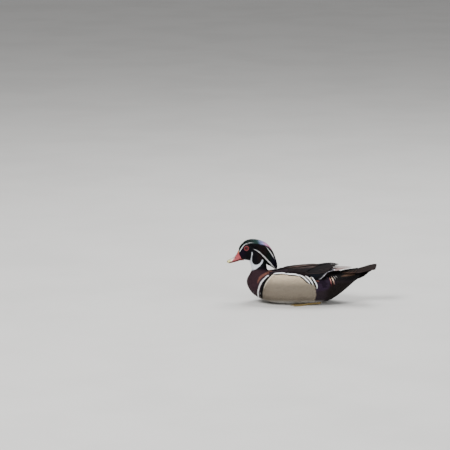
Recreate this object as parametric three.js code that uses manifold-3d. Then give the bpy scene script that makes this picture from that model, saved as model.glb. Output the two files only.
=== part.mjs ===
// A drake wood duck, life size, afloat in the pose of a quiet swim, set down on its belly.
// Millimetres, +Z up. It faces -X, its left side is -Y, and it rests on the plane z = 0.

import * as THREE from "three";
import { mergeVertices } from "three/addons/utils/BufferGeometryUtils.js";
import Module from "manifold-3d";

const wasm = await Module();
wasm.setup();

// Driving dimensions

const GAP = 0.3;
const EVENNESS = 0.06;
const DEGREE = Math.PI / 180;
const LEFT = -1;
const RIGHT = 1;

// Flat sections across the bird, from under the tail to the face, each with its dorsal point (x, z),
// its ventral point (x, z), half width, widest place (0 dorsal, 1 ventral) and squareness above and below
const BODY = [
  [169, 94.5, 168, 75.5, 8, 0.5, 2, 2],
  [151, 91, 148.5, 62.5, 20, 0.5, 2.1, 2],
  [131, 88.5, 127, 43.5, 31, 0.48, 2.2, 2],
  [108, 88, 104, 24.5, 43, 0.47, 2.3, 2],
  [80, 91.5, 78, 8.5, 54.5, 0.46, 2.4, 2.1],
  [45, 96, 45, -0.5, 63.5, 0.45, 2.6, 2.2],
  [5, 97.5, 5, -2, 67.5, 0.45, 2.8, 2.2],
  [-32, 93.5, -34, -2, 67, 0.45, 2.8, 2.2],
  [-64, 87.5, -70, 0.5, 62.5, 0.45, 2.7, 2.2],
  [-84, 86.5, -102, 8.5, 56, 0.46, 2.5, 2.2],
  [-91.5, 89, -130, 22.5, 47, 0.48, 2.3, 2.1],
  [-94, 92.5, -146, 43, 38.5, 0.5, 2.1, 2],
  [-95, 97, -149.5, 62, 31, 0.52, 2, 2],
  [-95.6, 102, -141.5, 79, 26, 0.52, 2, 2],
  [-96.6, 108.5, -136.3, 91, 22.5, 0.52, 2, 2],
  [-98.5, 117, -138.5, 103, 20.5, 0.52, 2, 2],
  [-101.5, 127, -141.5, 113.5, 19.5, 0.53, 2, 2],
  [-104.5, 140, -145.5, 118, 19.5, 0.55, 2, 2.1],
  [-110, 154.5, -150, 118.5, 20.3, 0.58, 2, 2.2],
  [-120, 166, -154, 118.5, 20.8, 0.6, 2, 2.3],
  [-132.5, 172, -158, 119, 20.6, 0.6, 2, 2.3],
  [-146, 172.5, -161.5, 120, 19.4, 0.6, 2, 2.3],
  [-157.5, 168.5, -164.5, 121.5, 17.2, 0.59, 2, 2.3],
  [-166, 161.5, -167, 124, 14.2, 0.58, 2, 2.2],
  [-171, 153, -169.5, 128.5, 11, 0.56, 2, 2.1],
  [-173.5, 146, -172, 135, 6.5, 0.54, 2, 2],
];
const NECK_STARTS = 12;
const HEAD_STARTS = 16;

// The drooping hood of the crest, from the forehead to its tip behind the neck, in the same columns
const CREST = [
  [-167, 162.5, -163, 156, 9, 0.6, 2, 2],
  [-155, 172, -150, 161, 14, 0.6, 2, 2],
  [-138, 176.2, -135, 156, 18.2, 0.6, 2, 2],
  [-120, 175, -122, 147, 20, 0.6, 2, 2],
  [-104, 169.8, -113, 133, 18.6, 0.6, 2, 2],
  [-91.5, 161, -106, 121, 16, 0.6, 2, 2],
  [-80.8, 147.6, -100, 110, 13.5, 0.6, 2, 2],
  [-72.8, 130.5, -91, 103.5, 10.5, 0.6, 2, 2],
  [-67.6, 114, -82, 99.5, 7.5, 0.6, 2, 2],
  [-65.2, 102, -75.5, 94.8, 4.5, 0.6, 2, 2],
  [-66.5, 94, -70.8, 91, 1.5, 0.6, 2, 2],
];

// The outer face of the folded wings over the back, from the shoulders to the tips of the primaries
const WING = [
  [-92, 89.5, -92, 10, 58.5, 0.46, 2.5, 2.2],
  [-66, 91, -66, 4, 65, 0.46, 2.8, 2.2],
  [-35, 97, -35, 2, 69.3, 0.46, 2.9, 2.2],
  [5, 101.5, 5, 2, 70, 0.46, 2.9, 2.2],
  [45, 105, 45, 4, 66.5, 0.46, 2.7, 2.2],
  [78, 109.5, 78, 20, 56, 0.5, 2.4, 2],
  [104, 106, 104, 46, 40, 0.55, 2.2, 2],
  [124, 101.5, 124, 66, 25, 0.6, 2, 2],
  [142, 98.5, 142, 86, 10, 0.6, 2, 2],
];

// Angles from the top of the back, in degrees, down to where the flank feathers cover the wing,
// and then down to the free edge of the secondaries and primaries, at each wing section
const WING_LOWER_EDGE = [38, 42, 46, 60, 82, 62, 60, 70, 80];
const WING_UPPER_EDGE = [16, 8, 1.2, 0.3, 0.3, 0.3, 0.3, 0.3, 0.3];

// Tail feathers, level and slightly arched
const TAIL_SHEET = { startX: 108, step: 12, heights: [86.5, 89.6, 91.8, 93.8, 96, 99.4, 103.6, 107, 108.6], arch: 0.009 };
// The fleshy root of the tail: x, half width, half thickness and height over the sheet at each station
const TAIL_CORE = [
  [109, 13, 2.8, -1],
  [120, 16, 2.8, -1.1],
  [134, 17, 2.2, -1.4],
  [150, 17, 1.2, -1.5],
];
const RECTRICES = { pairs: 7, rootX: 117, tipX: 204.5, shorter: 0.1, rootY: 1.5, rootPitch: 2.3, tipY: 2.7, tipPitch: 4.5, half: 6.6 };

// The primaries lie on a sheet of their own over the rump
const PRIMARY_SHEET = { startX: 20, step: 20, heights: [98.4, 99, 99.6, 99.9, 99.6, 98.8, 97.6], arch: 0.006 };

// Bill sections across the upper mandible: ridge (x, z), edge (x, z) and half width
const UPPER_BILL = [
  [-166, 150.5, -160, 124.5, 9],
  [-172.8, 146.5, -167, 123, 10],
  [-178, 135, -175, 119.6, 9.4],
  [-185, 126.2, -184, 116.8, 8.8],
  [-193.5, 120.8, -193, 114.2, 8.2],
  [-200.8, 117.4, -200, 112, 7.2],
  [-204.6, 114.2, -204.2, 110.4, 3.6],
];
const LOWER_BILL = [
  [-158, 124, -158, 117, 7],
  [-168, 121.6, -168, 116.6, 7.6],
  [-177, 117.9, -177, 113.6, 7.4],
  [-186, 114.9, -186, 111.2, 6.8],
  [-194, 112.4, -194, 109.3, 6.2],
  [-200.5, 110.6, -200.5, 108.4, 4.2],
];

const NOSTRIL = { x: -181.5, y: 8.4, z: 124.6, pitch: -33 };

// Each eyeball is sunk below the skin of the head, at a section and an angle from the dorsal line
const EYE = { t: 20.9, angle: 66, radius: 7.2, depth: 5.8, opening: 5.9, lidRadius: 6.3, lidThickness: 1, lidLift: -0.1 };

// The right leg and foot, each station with its place and radius
const LEG = [
  [54, 36, 6.6, 2.2],
  [51, 36.4, 6.2, 3.1],
  [46, 37.2, 5.8, 3],
  [34, 39.4, 5, 2.5],
  [24, 41.2, 4.3, 2.5],
  [19, 42, 4, 2.7],
];
const TOES = [
  [[18.7, 42, 3.4, 2.8], [12, 42.6, 2.6, 2.8], [-4, 44.4, 1.9, 2.1], [-19, 46, 1.6, 1.8], [-26, 46.8, 1.5, 1.2], [-30, 47.2, 0.9, 0.4]],
  [[14, 42, 2.8, 2.4], [2, 37.4, 1.9, 2], [-12, 32.6, 1.6, 1.6], [-18, 30.8, 1.4, 1.1], [-21.5, 30, 0.9, 0.4]],
  [[14, 42.6, 2.8, 2.4], [4, 48, 1.9, 2], [-10, 54.6, 1.6, 1.6], [-17, 57.6, 1.4, 1.1], [-20.5, 59, 0.9, 0.4]],
  [[13, 42, 2.4, 1.8], [18, 36.6, 1.6, 1.3], [22, 33.4, 1.2, 0.9], [24.4, 31.8, 0.8, 0.3]],
];
const WEB = [[12, 42], [2, 37.4], [-12, 32.6], [-16, 31.6], [-15.5, 39], [-20, 45.6], [-13.5, 51], [-13, 55.6], [4, 48]];
const WEB_HEIGHT = 0.6;
const WEB_THICKNESS = 0.9;

// Feather outlines: places from root to tip, each with its share of the greatest width
const BLADE = [[0, 0.5], [0.45, 0.98], [0.8, 0.88], [1, 0.3]];
const QUILL = [[0, 0.5], [0.5, 1], [0.88, 0.82], [1, 0.22]];
const LOCK = [[0, 0.7], [0.35, 1], [0.75, 0.75], [1, 0.14]];
const VANE_THICKNESS = 0.6;

// The upper border of the flank feathers over the folded wing, in degrees from the top of the back,
// at each body section
const FLANK_LINE = [120, 115, 110, 104, 98, 92, 60, 36, 28, 29, 40, 50, 60];
const FLANK = {
  columns: 5, rows: 2, firstTip: 8.4, lastTip: 5.05, length: 1.5, rowStart: 13, rowStep: 23, dip: 8,
  lowest: 100, lowestStep: 14, half: 14, sink: 0.5, rise: 1.9, lean: -0.06, thick: 3.2,
  clear: 4.4,
};

// Coverts under the tail: section and angle of the root, then of the tip
const UNDERTAIL = [
  [3.4, 96, 1.5, 92],
  [3.1, 124, 1.1, 122],
  [2.9, 155, 0.7, 158],
  [2.4, 104, 0.7, 98],
  [2, 140, 0.15, 150],
];

// Tail coverts: root x, y, tip x, y, half width, sink and rise
const TAIL_COVERTS = [
  [104, 3, 137, 4, 7, -0.6, 1.6],
  [103, 9, 133, 13, 7, -0.6, 1.6],
  [112, 6, 150, 9, 7, 0.2, 0.9],
  [111, 12, 145, 19, 7, 0.2, 0.9],
];

// Tiers of crest locks, with the angles that they start at around the hood
const CREST_TIERS = [
  { rootT: 5.2, tipT: 10, angles: [-20, 20, -76, 76, -134, 134], half: 5.6, sink: 2.6, rise: -0.4, gather: { shorter: 0.012, angle: 1 } },
  { rootT: 4.4, tipT: 8.4, angles: [0, -42, 42, -90, 90], half: 6, sink: 2.2, rise: 0.2, gather: { shorter: 0.008, angle: 1 } },
  { rootT: 2.6, tipT: 6.4, angles: [-20, 20, -62, 62], half: 7, sink: 1.9, rise: 0.6, gather: { shorter: 0.006, angle: 1.1 } },
  { rootT: 1.1, tipT: 4.6, angles: [0, -38, 38, -76, 76], half: 6.6, sink: 1.4, rise: 0.7, thick: 2.6, gather: { shorter: 0.004, angle: 1.15 } },
  { rootT: 0.15, tipT: 2.9, angles: [-18, 18, -54, 54], half: 6, sink: 1.2, rise: 0.7, thick: 2.6, gather: { shorter: 0.004, angle: 1.1 } },
];
const CREST_CORE_END = 5.6;
const CREST_CORE_LIFT = -1.6;

// Tiers of wing feathers from the lowest up. Each has the root and the tip of the inner and the outer
// feather of its first row, and of its last, as section and angle or, over the rump, as x and y.
const WING_CORE_END = 5;
const WING_CORE_LOW = [-9, -9, -9, -9, -8, -5.5];
const WING_CORE_HIGH = [-5.5, -2.4, -2.4, -2.4, -2.8, -4.5];
const WING_CORE_GRID = { steps: 10, across: 5 };
const WING_TIERS = [
  {
    sheet: true, rows: 1, count: 6, half: [4, 6], sink: 1.5, rise: 0.2, lean: 0.3, shape: QUILL,
    first: { root: [[46, 9], [40, 26]], tip: [[139, 5.4], [104, 24]] },
    last: { root: [[46, 9], [40, 26]], tip: [[139, 5.4], [104, 24]] },
  },
  {
    rows: 1, count: 5, half: [7.5, 9], sink: 3.4, rise: -1, lean: 0.12, shape: QUILL,
    first: { root: [[2.9, 36], [2.4, 60]], tip: [[5.35, 46], [4.25, 74]] },
    last: { root: [[2.9, 36], [2.4, 60]], tip: [[5.35, 46], [4.25, 74]] },
  },
  {
    rows: 1, count: 4, half: [8, 11], sink: 3.2, rise: 0.2, lean: 0.09, shape: QUILL,
    first: { root: [[3, 7], [2.5, 34]], tip: [[5.9, 7], [4.9, 40]] },
    last: { root: [[3, 7], [2.5, 34]], tip: [[5.9, 7], [4.9, 40]] },
  },
  {
    rows: 3, count: 3, half: 9.5, sink: 2.8, rise: -0.4, lean: 0.06, thick: 3,
    first: { root: [[0.9, 24], [0.9, 38]], tip: [[2, 24], [2, 40]] },
    last: { root: [[1.9, 42], [2, 60]], tip: [[3.1, 44], [3.4, 70]] },
  },
  {
    rows: 2, count: 4, half: [9.5, 11.5], sink: 2.7, rise: 0.7, lean: 0.06, thick: 3.6,
    first: { root: [[0.25, 12], [0.3, 40]], tip: [[2.1, 6], [1.9, 30]] },
    last: { root: [[1.3, 5], [1.2, 38]], tip: [[3.9, 5], [3.1, 34]] },
  },
];

// Solids

const vec = (x, y, z) => new THREE.Vector3(x, y, z);

// A closed surface as a solid, whichever way its triangles were listed.
function solid(points, triangles) {
  const made = new wasm.Manifold(
    new wasm.Mesh({
      numProp: 3,
      vertProperties: new Float32Array(points.flatMap((p) => [p.x, p.y, p.z])),
      triVerts: new Uint32Array(triangles.flat()),
    }),
  );
  if (made.volume() > 0) return made;
  return solid(points, triangles.map(([a, b, c]) => [a, c, b]));
}

function solidOf(geometry) {
  const bare = geometry.clone();
  bare.deleteAttribute("normal");
  bare.deleteAttribute("uv");
  const merged = mergeVertices(bare, 1e-3);
  return new wasm.Manifold(
    new wasm.Mesh({
      numProp: 3,
      vertProperties: merged.attributes.position.array,
      triVerts: new Uint32Array(merged.index.array),
    }),
  );
}

// The largest closed piece of a solid.
function largest(made) {
  return made.decompose().reduce((a, b) => (b.volume() > a.volume() ? b : a));
}

function joined(solids) {
  return solids.reduce((a, b) => a.add(b));
}

function box(minX, maxX, minY, maxY, minZ, maxZ) {
  const geometry = new THREE.BoxGeometry(maxX - minX, maxY - minY, maxZ - minZ);
  geometry.translate((minX + maxX) / 2, (minY + maxY) / 2, (minZ + maxZ) / 2);
  return solidOf(geometry);
}

// Rings of points of equal count, closed at both ends, as a solid.
function loft(rings) {
  const count = rings[0].length;
  const points = rings.flat();
  const triangles = [];
  for (let i = 0; i + 1 < rings.length; i++) {
    for (let j = 0; j < count; j++) {
      const a = i * count + j;
      const b = i * count + ((j + 1) % count);
      triangles.push([a, b, b + count], [a, b + count, a + count]);
    }
  }
  for (const [ring, flip] of [[0, true], [rings.length - 1, false]]) {
    const middle = new THREE.Vector3();
    rings[ring].forEach((p) => middle.addScaledVector(p, 1 / count));
    points.push(middle);
    for (let j = 0; j < count; j++) {
      const a = ring * count + j;
      const b = ring * count + ((j + 1) % count);
      triangles.push(flip ? [b, a, points.length - 1] : [a, b, points.length - 1]);
    }
  }
  return solid(points, triangles);
}

// Forms

// A smooth form through flat sections. t counts sections, and the angle runs from 0 on the dorsal line
// to 180 degrees on the ventral line, positive on the right (+Y) and negative on the left.
class Form {
  constructor(sections) {
    const curve = (pick) => new THREE.CatmullRomCurve3(sections.map(pick), false, "catmullrom", 0.5);
    this.last = sections.length - 1;
    this.dorsal = curve((s) => new THREE.Vector3(s[0], 0, s[1]));
    this.ventral = curve((s) => new THREE.Vector3(s[2], 0, s[3]));
    this.girth = curve((s) => new THREE.Vector3(s[4], s[5] * 100, 0));
    this.square = curve((s) => new THREE.Vector3(s[6] * 10, s[7] * 10, 0));
  }

  point(t, angle) {
    const u = THREE.MathUtils.clamp(t / this.last, 0, 1);
    const dorsal = this.dorsal.getPoint(u);
    const ventral = this.ventral.getPoint(u);
    const girth = this.girth.getPoint(u);
    const square = this.square.getPoint(u);
    const middle = dorsal.clone().lerp(ventral, girth.y / 100);
    const c = Math.cos(angle);
    const s = Math.sin(angle);
    const power = 20 / (c > 0 ? square.x : square.y);
    const reach = (c > 0 ? dorsal : ventral).clone().sub(middle);
    const out = middle.addScaledVector(reach, Math.abs(c) ** power);
    out.y = Math.sign(s) * girth.x * Math.abs(s) ** power;
    return out;
  }

  // The outward normal, and the surface's own steps along t and the angle.
  frame(t, angle) {
    const small = 0.02;
    const along = this.point(t + small, angle).sub(this.point(t - small, angle));
    const round = this.point(t, angle + small).sub(this.point(t, angle - small));
    along.divideScalar(2 * small);
    round.divideScalar(2 * small);
    const normal = along.clone().cross(round).normalize();
    const outward = this.point(t, angle).sub(this.middle(t));
    if (normal.dot(outward) < 0) normal.negate();
    return { along, round, normal };
  }

  middle(t) {
    const u = THREE.MathUtils.clamp(t / this.last, 0, 1);
    return this.dorsal.getPoint(u).lerp(this.ventral.getPoint(u), 0.5);
  }

  at(t, angle, lift = 0) {
    if (lift === 0) return this.point(t, angle);
    return this.point(t, angle).addScaledVector(this.frame(t, angle).normal, lift);
  }

  // The solid between two sections, grown by a distance, with so many sides and rings a section.
  // Its flat ends draw back by half the gap, or reach out by the distance it is grown.
  between(from, to, { grow = 0, sides = 32, rings = 2, draw = GAP / 2 } = {}) {
    const steps = Math.round((to - from) * rings);
    const made = [];
    for (let i = 0; i <= steps; i++) {
      const t = from + ((to - from) * i) / steps;
      const ring = [];
      for (let j = 0; j < sides; j++) ring.push(this.at(t, ((j + 0.5) / sides) * 2 * Math.PI, grow));
      made.push(ring);
    }
    const inward = this.facing(from).multiplyScalar(draw);
    made[0].forEach((p) => p.add(inward));
    const back = this.facing(to).multiplyScalar(-draw);
    made[steps].forEach((p) => p.add(back));
    return loft(made);
  }

  // The way a flat section faces, toward the next one.
  facing(t) {
    const u = t / this.last;
    const across = this.dorsal.getPoint(u).sub(this.ventral.getPoint(u)).normalize();
    const way = new THREE.Vector3(0, 1, 0).cross(across).normalize();
    const step = Math.min(t + 0.05, this.last);
    const ahead = this.middle(step).sub(this.middle(step - 0.05));
    return ahead.dot(way) < 0 ? way.negate() : way;
  }

  // A slab of the surface between two edges and from one lift to another, all given as functions of t.
  slab(from, to, edgeA, edgeB, low, high, { steps = 12, across = 6 } = {}) {
    const rings = [];
    for (let i = 0; i <= steps; i++) {
      const t = from + ((to - from) * i) / steps;
      const outer = [];
      const inner = [];
      for (let j = 0; j <= across; j++) {
        const angle = edgeA(t) + ((edgeB(t) - edgeA(t)) * j) / across;
        outer.push(this.at(t, angle, high(t)));
        inner.unshift(this.at(t, angle, low(t)));
      }
      rings.push([...outer, ...inner]);
    }
    return loft(rings);
  }
}

// Linear reading of a list of numbers at a place between its entries.
function between(list, t) {
  const i = THREE.MathUtils.clamp(Math.floor(t), 0, list.length - 2);
  return list[i] + (list[i + 1] - list[i]) * THREE.MathUtils.clamp(t - i, 0, 1);
}

// A level sheet over x and y: its height follows a list along x, and it falls away to both sides.
class Sheet {
  constructor({ startX, step, heights, arch }) {
    Object.assign(this, { startX, step, heights, arch });
  }

  at(x, y, lift = 0) {
    const height = between(this.heights, (x - this.startX) / this.step);
    const slope = 2 * this.arch * y;
    const fall = Math.hypot(1, slope);
    return vec(x, y + (lift * slope) / fall, height - this.arch * y * y + lift / fall);
  }
}

// A feather lying on a form or a sheet, from its root to its tip, both given as the two places that the
// surface reads. Its root is sunk, its tip stands proud, and it leans to one side like a shingle. A body
// feather is thick enough to reach what it grows on.
function vane(surface, { root, tip, half, sink, rise, lean = 0, bend = 0, thick = VANE_THICKNESS, shape = BLADE }) {
  const small = 0.01;
  const [left, right] = Array.isArray(half) ? half : [half, half];
  const rings = shape.map(([s, wide]) => {
    const u = root[0] + (tip[0] - root[0]) * s;
    const v = root[1] + (tip[1] - root[1]) * s + bend * Math.sin(Math.PI * s);
    const here = surface.at(u, v);
    const alongU = surface.at(u + small, v).sub(surface.at(u - small, v)).divideScalar(2 * small);
    const alongV = surface.at(u, v + small).sub(surface.at(u, v - small)).divideScalar(2 * small);
    const slopeV = tip[1] - root[1] + bend * Math.PI * Math.cos(Math.PI * s);
    const way = alongU.clone().multiplyScalar(tip[0] - root[0]).addScaledVector(alongV, slopeV);
    const normal = surface.at(u, v, 1).sub(here).normalize();
    const side = normal.cross(way).normalize();
    const uu = alongU.dot(alongU);
    const vv = alongV.dot(alongV);
    const uv = alongU.dot(alongV);
    const su = side.dot(alongU);
    const sv = side.dot(alongV);
    const det = uu * vv - uv * uv;
    const stepU = (su * vv - sv * uv) / det;
    const stepV = (sv * uu - su * uv) / det;
    const lift = -sink + (rise + sink) * s;
    const across = [-left * wide, 0, right * wide];
    const face = (drop) => across.map((w) => surface.at(u + stepU * w, v + stepV * w, lift + lean * w - drop));
    return [...face(0), ...face(thick).reverse()];
  });
  return loft(rings);
}

const body = new Form(BODY);
const crest = new Form(CREST);
const wings = new Form(WING);


const tailSheet = new Sheet(TAIL_SHEET);
const primarySheet = new Sheet(PRIMARY_SHEET);

// A flat core on a sheet, with its own thickness and half width at each station.
function sheetCore(sheet, stations, grow = 0) {
  const rings = stations.map(([x, half, thick, lift]) =>
    Array.from({ length: 16 }, (_, j) => {
      const a = ((j + 0.5) / 16) * 2 * Math.PI;
      return sheet.at(x, (half + grow) * Math.cos(a), lift + (thick + grow) * Math.sin(a));
    }),
  );
  return loft(rings);
}

// A tapering limb through points given with their radii, with so many sides.
function limb(stations, sides = 10) {
  const rings = stations.map(([x, y, z, r], i) => {
    const [ax, ay, az] = stations[Math.max(i - 1, 0)];
    const [bx, by, bz] = stations[Math.min(i + 1, stations.length - 1)];
    const way = vec(bx - ax, by - ay, bz - az).normalize();
    const level = vec(0, 0, 1).cross(way).normalize();
    const up = way.clone().cross(level);
    return Array.from({ length: sides }, (_, j) => {
      const a = (j / sides) * 2 * Math.PI;
      return vec(x, y, z).addScaledVector(level, r * Math.cos(a)).addScaledVector(up, r * Math.sin(a));
    });
  });
  return loft(rings);
}

function ball(center, radius, detail = 2) {
  const geometry = new THREE.IcosahedronGeometry(radius, detail);
  geometry.translate(center.x, center.y, center.z);
  return solidOf(geometry);
}

const abovePlane = (made) => made.subtract(box(-300, 300, -200, 200, -50, 0));

const group = new THREE.Group();

// Adds a node: its largest closed piece, under its name, in its colour.
function node(name, made, color, roughness, metalness = 0) {
  const mesh = largest(made.simplify(EVENNESS)).getMesh();
  const geometry = new THREE.BufferGeometry();
  geometry.setAttribute("position", new THREE.BufferAttribute(new Float32Array(mesh.vertProperties), 3));
  geometry.setIndex(new THREE.BufferAttribute(new Uint32Array(mesh.triVerts), 1));
  geometry.computeVertexNormals();
  const part = new THREE.Mesh(geometry, new THREE.MeshStandardMaterial({ color, roughness, metalness }));
  part.name = name;
  group.add(part);
}

// Head, with the eyes in their sockets

const eyeSurface = (side, lift) => body.at(EYE.t, side * EYE.angle * DEGREE, lift);
const eyeCenter = (side) => eyeSurface(side, -EYE.depth);

// Turns a piece modelled along +Z so that it stands on the head at an eye.
function placeAtEye(geometry, side, lift) {
  const normal = body.frame(EYE.t, side * EYE.angle * DEGREE).normal;
  geometry.applyQuaternion(new THREE.Quaternion().setFromUnitVectors(vec(0, 0, 1), normal));
  const place = eyeSurface(side, lift);
  geometry.translate(place.x, place.y, place.z);
  return solidOf(geometry);
}

// The three lengths of the body, true to size or grown by the gap that other nodes keep to it.
const torsoForm = (more = {}) => body.between(0, NECK_STARTS, { sides: 28, rings: 1.1, ...more });
const neckForm = (more = {}) => body.between(NECK_STARTS, HEAD_STARTS, { sides: 28, rings: 1.25, ...more });
const headForm = (more = {}) => body.between(HEAD_STARTS, BODY.length - 1, { sides: 28, rings: 1.25, ...more });

let head = headForm();
for (const side of [LEFT, RIGHT]) {
  const bore = new THREE.CylinderGeometry(EYE.opening, EYE.opening, 8, 18);
  bore.rotateX(Math.PI / 2);
  head = head.subtract(placeAtEye(bore, side, 0));
  const lid = new THREE.TorusGeometry(EYE.lidRadius, EYE.lidThickness, 6, 18);
  head = head.add(placeAtEye(lid, side, EYE.lidLift));
  head = head.subtract(ball(eyeCenter(side), EYE.radius + GAP));
}
const grown = { grow: GAP, draw: -GAP };
const headGrown = headForm(grown);
const bodyGrown = joined([torsoForm(grown), neckForm(grown), headGrown]);

// Bill

function billHalf(sections, crown) {
  const rings = sections.map(([ridgeX, ridgeZ, edgeX, edgeZ, half]) => {
    const ring = [];
    for (let j = 0; j <= 10; j++) {
      const a = (j / 10) * Math.PI;
      const rise = Math.sin(a) ** crown;
      ring.push(vec(edgeX + (ridgeX - edgeX) * rise, half * Math.cos(a), edgeZ + (ridgeZ - edgeZ) * rise));
    }
    return ring;
  });
  return loft(rings);
}

let upperBill = billHalf(UPPER_BILL, 0.8);
for (const side of [LEFT, RIGHT]) {
  const nostril = new THREE.SphereGeometry(1, 10, 6);
  nostril.scale(2.6, 3, 1.2);
  nostril.rotateY(NOSTRIL.pitch * DEGREE);
  nostril.translate(NOSTRIL.x, side * NOSTRIL.y, NOSTRIL.z);
  upperBill = upperBill.subtract(solidOf(nostril));
}
upperBill = upperBill.subtract(headGrown);
let lowerBill = billHalf(LOWER_BILL.map(([ax, az, bx, bz, half]) => [bx, bz, ax, az, half]), 0.8);
lowerBill = lowerBill.subtract(headGrown);

// Legs and feet, tucked under the belly

function leg(side, grow) {
  return limb(LEG.map(([x, y, z, r]) => [x, side * y, z, r + grow]), 12);
}

function foot(side) {
  const at = ([x, y, z, r]) => [x, side * y, z, r];
  const toes = TOES.map((toe) => limb(toe.map(at), 6));
  const web = loft([0, WEB_THICKNESS].map((rise) => WEB.map(([x, y]) => vec(x, side * y, WEB_HEIGHT + rise))));
  return abovePlane(joined([...toes, web])).subtract(bodyGrown);
}

// Torso, with the flank feathers in rows down from the border of the wing, and the coverts under the tail

const degrees = ([t, angle]) => [t, angle * DEGREE];

function flankFeathers(side) {
  const made = [];
  for (let row = 0; row < FLANK.rows; row++) {
    for (let column = 0; column < FLANK.columns; column++) {
      const stagger = row % 2 ? 0.5 : 0;
      const tipT = FLANK.firstTip + ((FLANK.lastTip - FLANK.firstTip) * (column + stagger)) / (FLANK.columns - 1);
      const down = FLANK.rowStart + row * FLANK.rowStep;
      const tipAngle = Math.min(between(FLANK_LINE, tipT) + down, FLANK.lowest + row * FLANK.lowestStep);
      const rootAngle = Math.min(tipAngle + FLANK.dip, FLANK.lowest + row * FLANK.lowestStep + 4);
      made.push(
        vane(body, {
          root: degrees([tipT + FLANK.length, side * rootAngle]),
          tip: degrees([tipT, side * tipAngle]),
          half: FLANK.half,
          sink: FLANK.sink,
          rise: FLANK.rise,
          lean: side * FLANK.lean,
          thick: FLANK.thick,
        }),
      );
    }
  }
  return made;
}

function undertailCoverts(side) {
  return UNDERTAIL.map(([rootT, rootAngle, tipT, tipAngle], i) =>
    vane(body, {
      root: degrees([rootT, side * rootAngle]),
      tip: degrees([tipT, side * tipAngle]),
      half: 8.5,
      sink: 1.4,
      rise: 1.4 + 0.1 * i,
      lean: -side * 0.06,
      thick: 2.6,
    }),
  );
}

// Tail

function tailFeathers(side) {
  const made = [];
  for (let i = 0; i < RECTRICES.pairs; i++) {
    const rootY = RECTRICES.rootY + RECTRICES.rootPitch * i;
    const tipY = RECTRICES.tipY + RECTRICES.tipPitch * i;
    const inner = Math.min(RECTRICES.half, tipY - 0.4);
    made.push(
      vane(tailSheet, {
        root: [RECTRICES.rootX, side * rootY],
        tip: [RECTRICES.tipX - RECTRICES.shorter * i * i, side * tipY],
        half: side === RIGHT ? [inner, RECTRICES.half] : [RECTRICES.half, inner],
        sink: 1.2,
        rise: -0.2,
        lean: side * 0.21,
        shape: QUILL,
      }),
    );
  }
  for (const [rootX, rootY, tipX, tipY, half, sink, rise] of TAIL_COVERTS) {
    made.push(
      vane(tailSheet, {
        root: [rootX, side * rootY],
        tip: [tipX, side * tipY],
        half: side === RIGHT ? [Math.min(half, tipY - 0.4), half] : [half, Math.min(half, tipY - 0.4)],
        sink,
        rise,
        lean: side * 0.1,
      }),
    );
  }
  return made;
}

// Crest, lock by lock from the forehead to the tip, the middle ones uppermost

function crestLocks() {
  const made = [];
  for (const { rootT, tipT, angles, half, sink, rise, gather, thick } of CREST_TIERS) {
    for (const angle of angles) {
      made.push(
        vane(crest, {
          root: degrees([rootT, angle]),
          tip: degrees([tipT - Math.abs(angle) * gather.shorter, angle * gather.angle]),
          half,
          sink: sink,
          rise,
          lean: Math.sign(angle) * 0.1,
          shape: LOCK,
          thick,
        }),
      );
    }
  }
  return made;
}

// Wings

const wingEdge = (list, side) => (t) => side * between(list, t) * DEGREE;
const wingList = (list) => (t) => between(list, t);

// A tier of feathers over a wing: rows of evenly spaced roots and tips between its first and its last.
function tier(surface, side, { rows, count, first, last, half, sink, rise, lean, bend = 0, shape = BLADE, thick }) {
  const made = [];
  const mix = (a, b, s) => a + (b - a) * s;
  const polar = surface instanceof Form;
  const place = ([u, v]) => [u, side * v * (polar ? DEGREE : 1)];
  for (let row = 0; row < rows; row++) {
    for (let i = 0; i < count; i++) {
      const along = rows > 1 ? row / (rows - 1) : 0;
      const across = count > 1 ? (i + (row % 2 ? 0.5 : 0)) / (count - 1) : 0;
      const pick = (end) =>
        [0, 1].map((k) => mix(mix(first[end][0][k], first[end][1][k], across), mix(last[end][0][k], last[end][1][k], across), along));
      const inner = Array.isArray(half) ? half[0] : half;
      const outer = Array.isArray(half) ? half[1] : half;
      made.push(
        vane(surface, {
          root: place(pick("root")),
          tip: place(pick("tip")),
          half: side === RIGHT ? [inner, outer] : [outer, inner],
          sink,
          rise,
          lean: side * lean,
          bend: side * bend * (polar ? DEGREE : 1),
          shape,
          thick,
        }),
      );
    }
  }
  return made;
}

function wing(side) {
  const upper = wingEdge(WING_UPPER_EDGE, side);
  const lower = wingEdge(WING_LOWER_EDGE, side);
  const core = wings.slab(0.2, WING_CORE_END, upper, lower, wingList(WING_CORE_LOW), wingList(WING_CORE_HIGH), WING_CORE_GRID);
  const feathers = WING_TIERS.flatMap((one) => tier(one.sheet ? primarySheet : wings, side, one));
  const flankEdge = (more) => (t) => side * (between(FLANK_LINE, t) + more) * DEGREE;
  const flankZone = body.slab(4.6, 10.5, flankEdge(-FLANK.clear), flankEdge(60), () => -3, () => 7);
  const farSide = box(-300, 300, side === LEFT ? -0.15 : -200, side === LEFT ? 200 : 0.15, -50, 300);
  return joined([core, ...feathers]).subtract(bodyGrown).subtract(flankZone).subtract(farSide).subtract(tailGrown);
}

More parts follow.
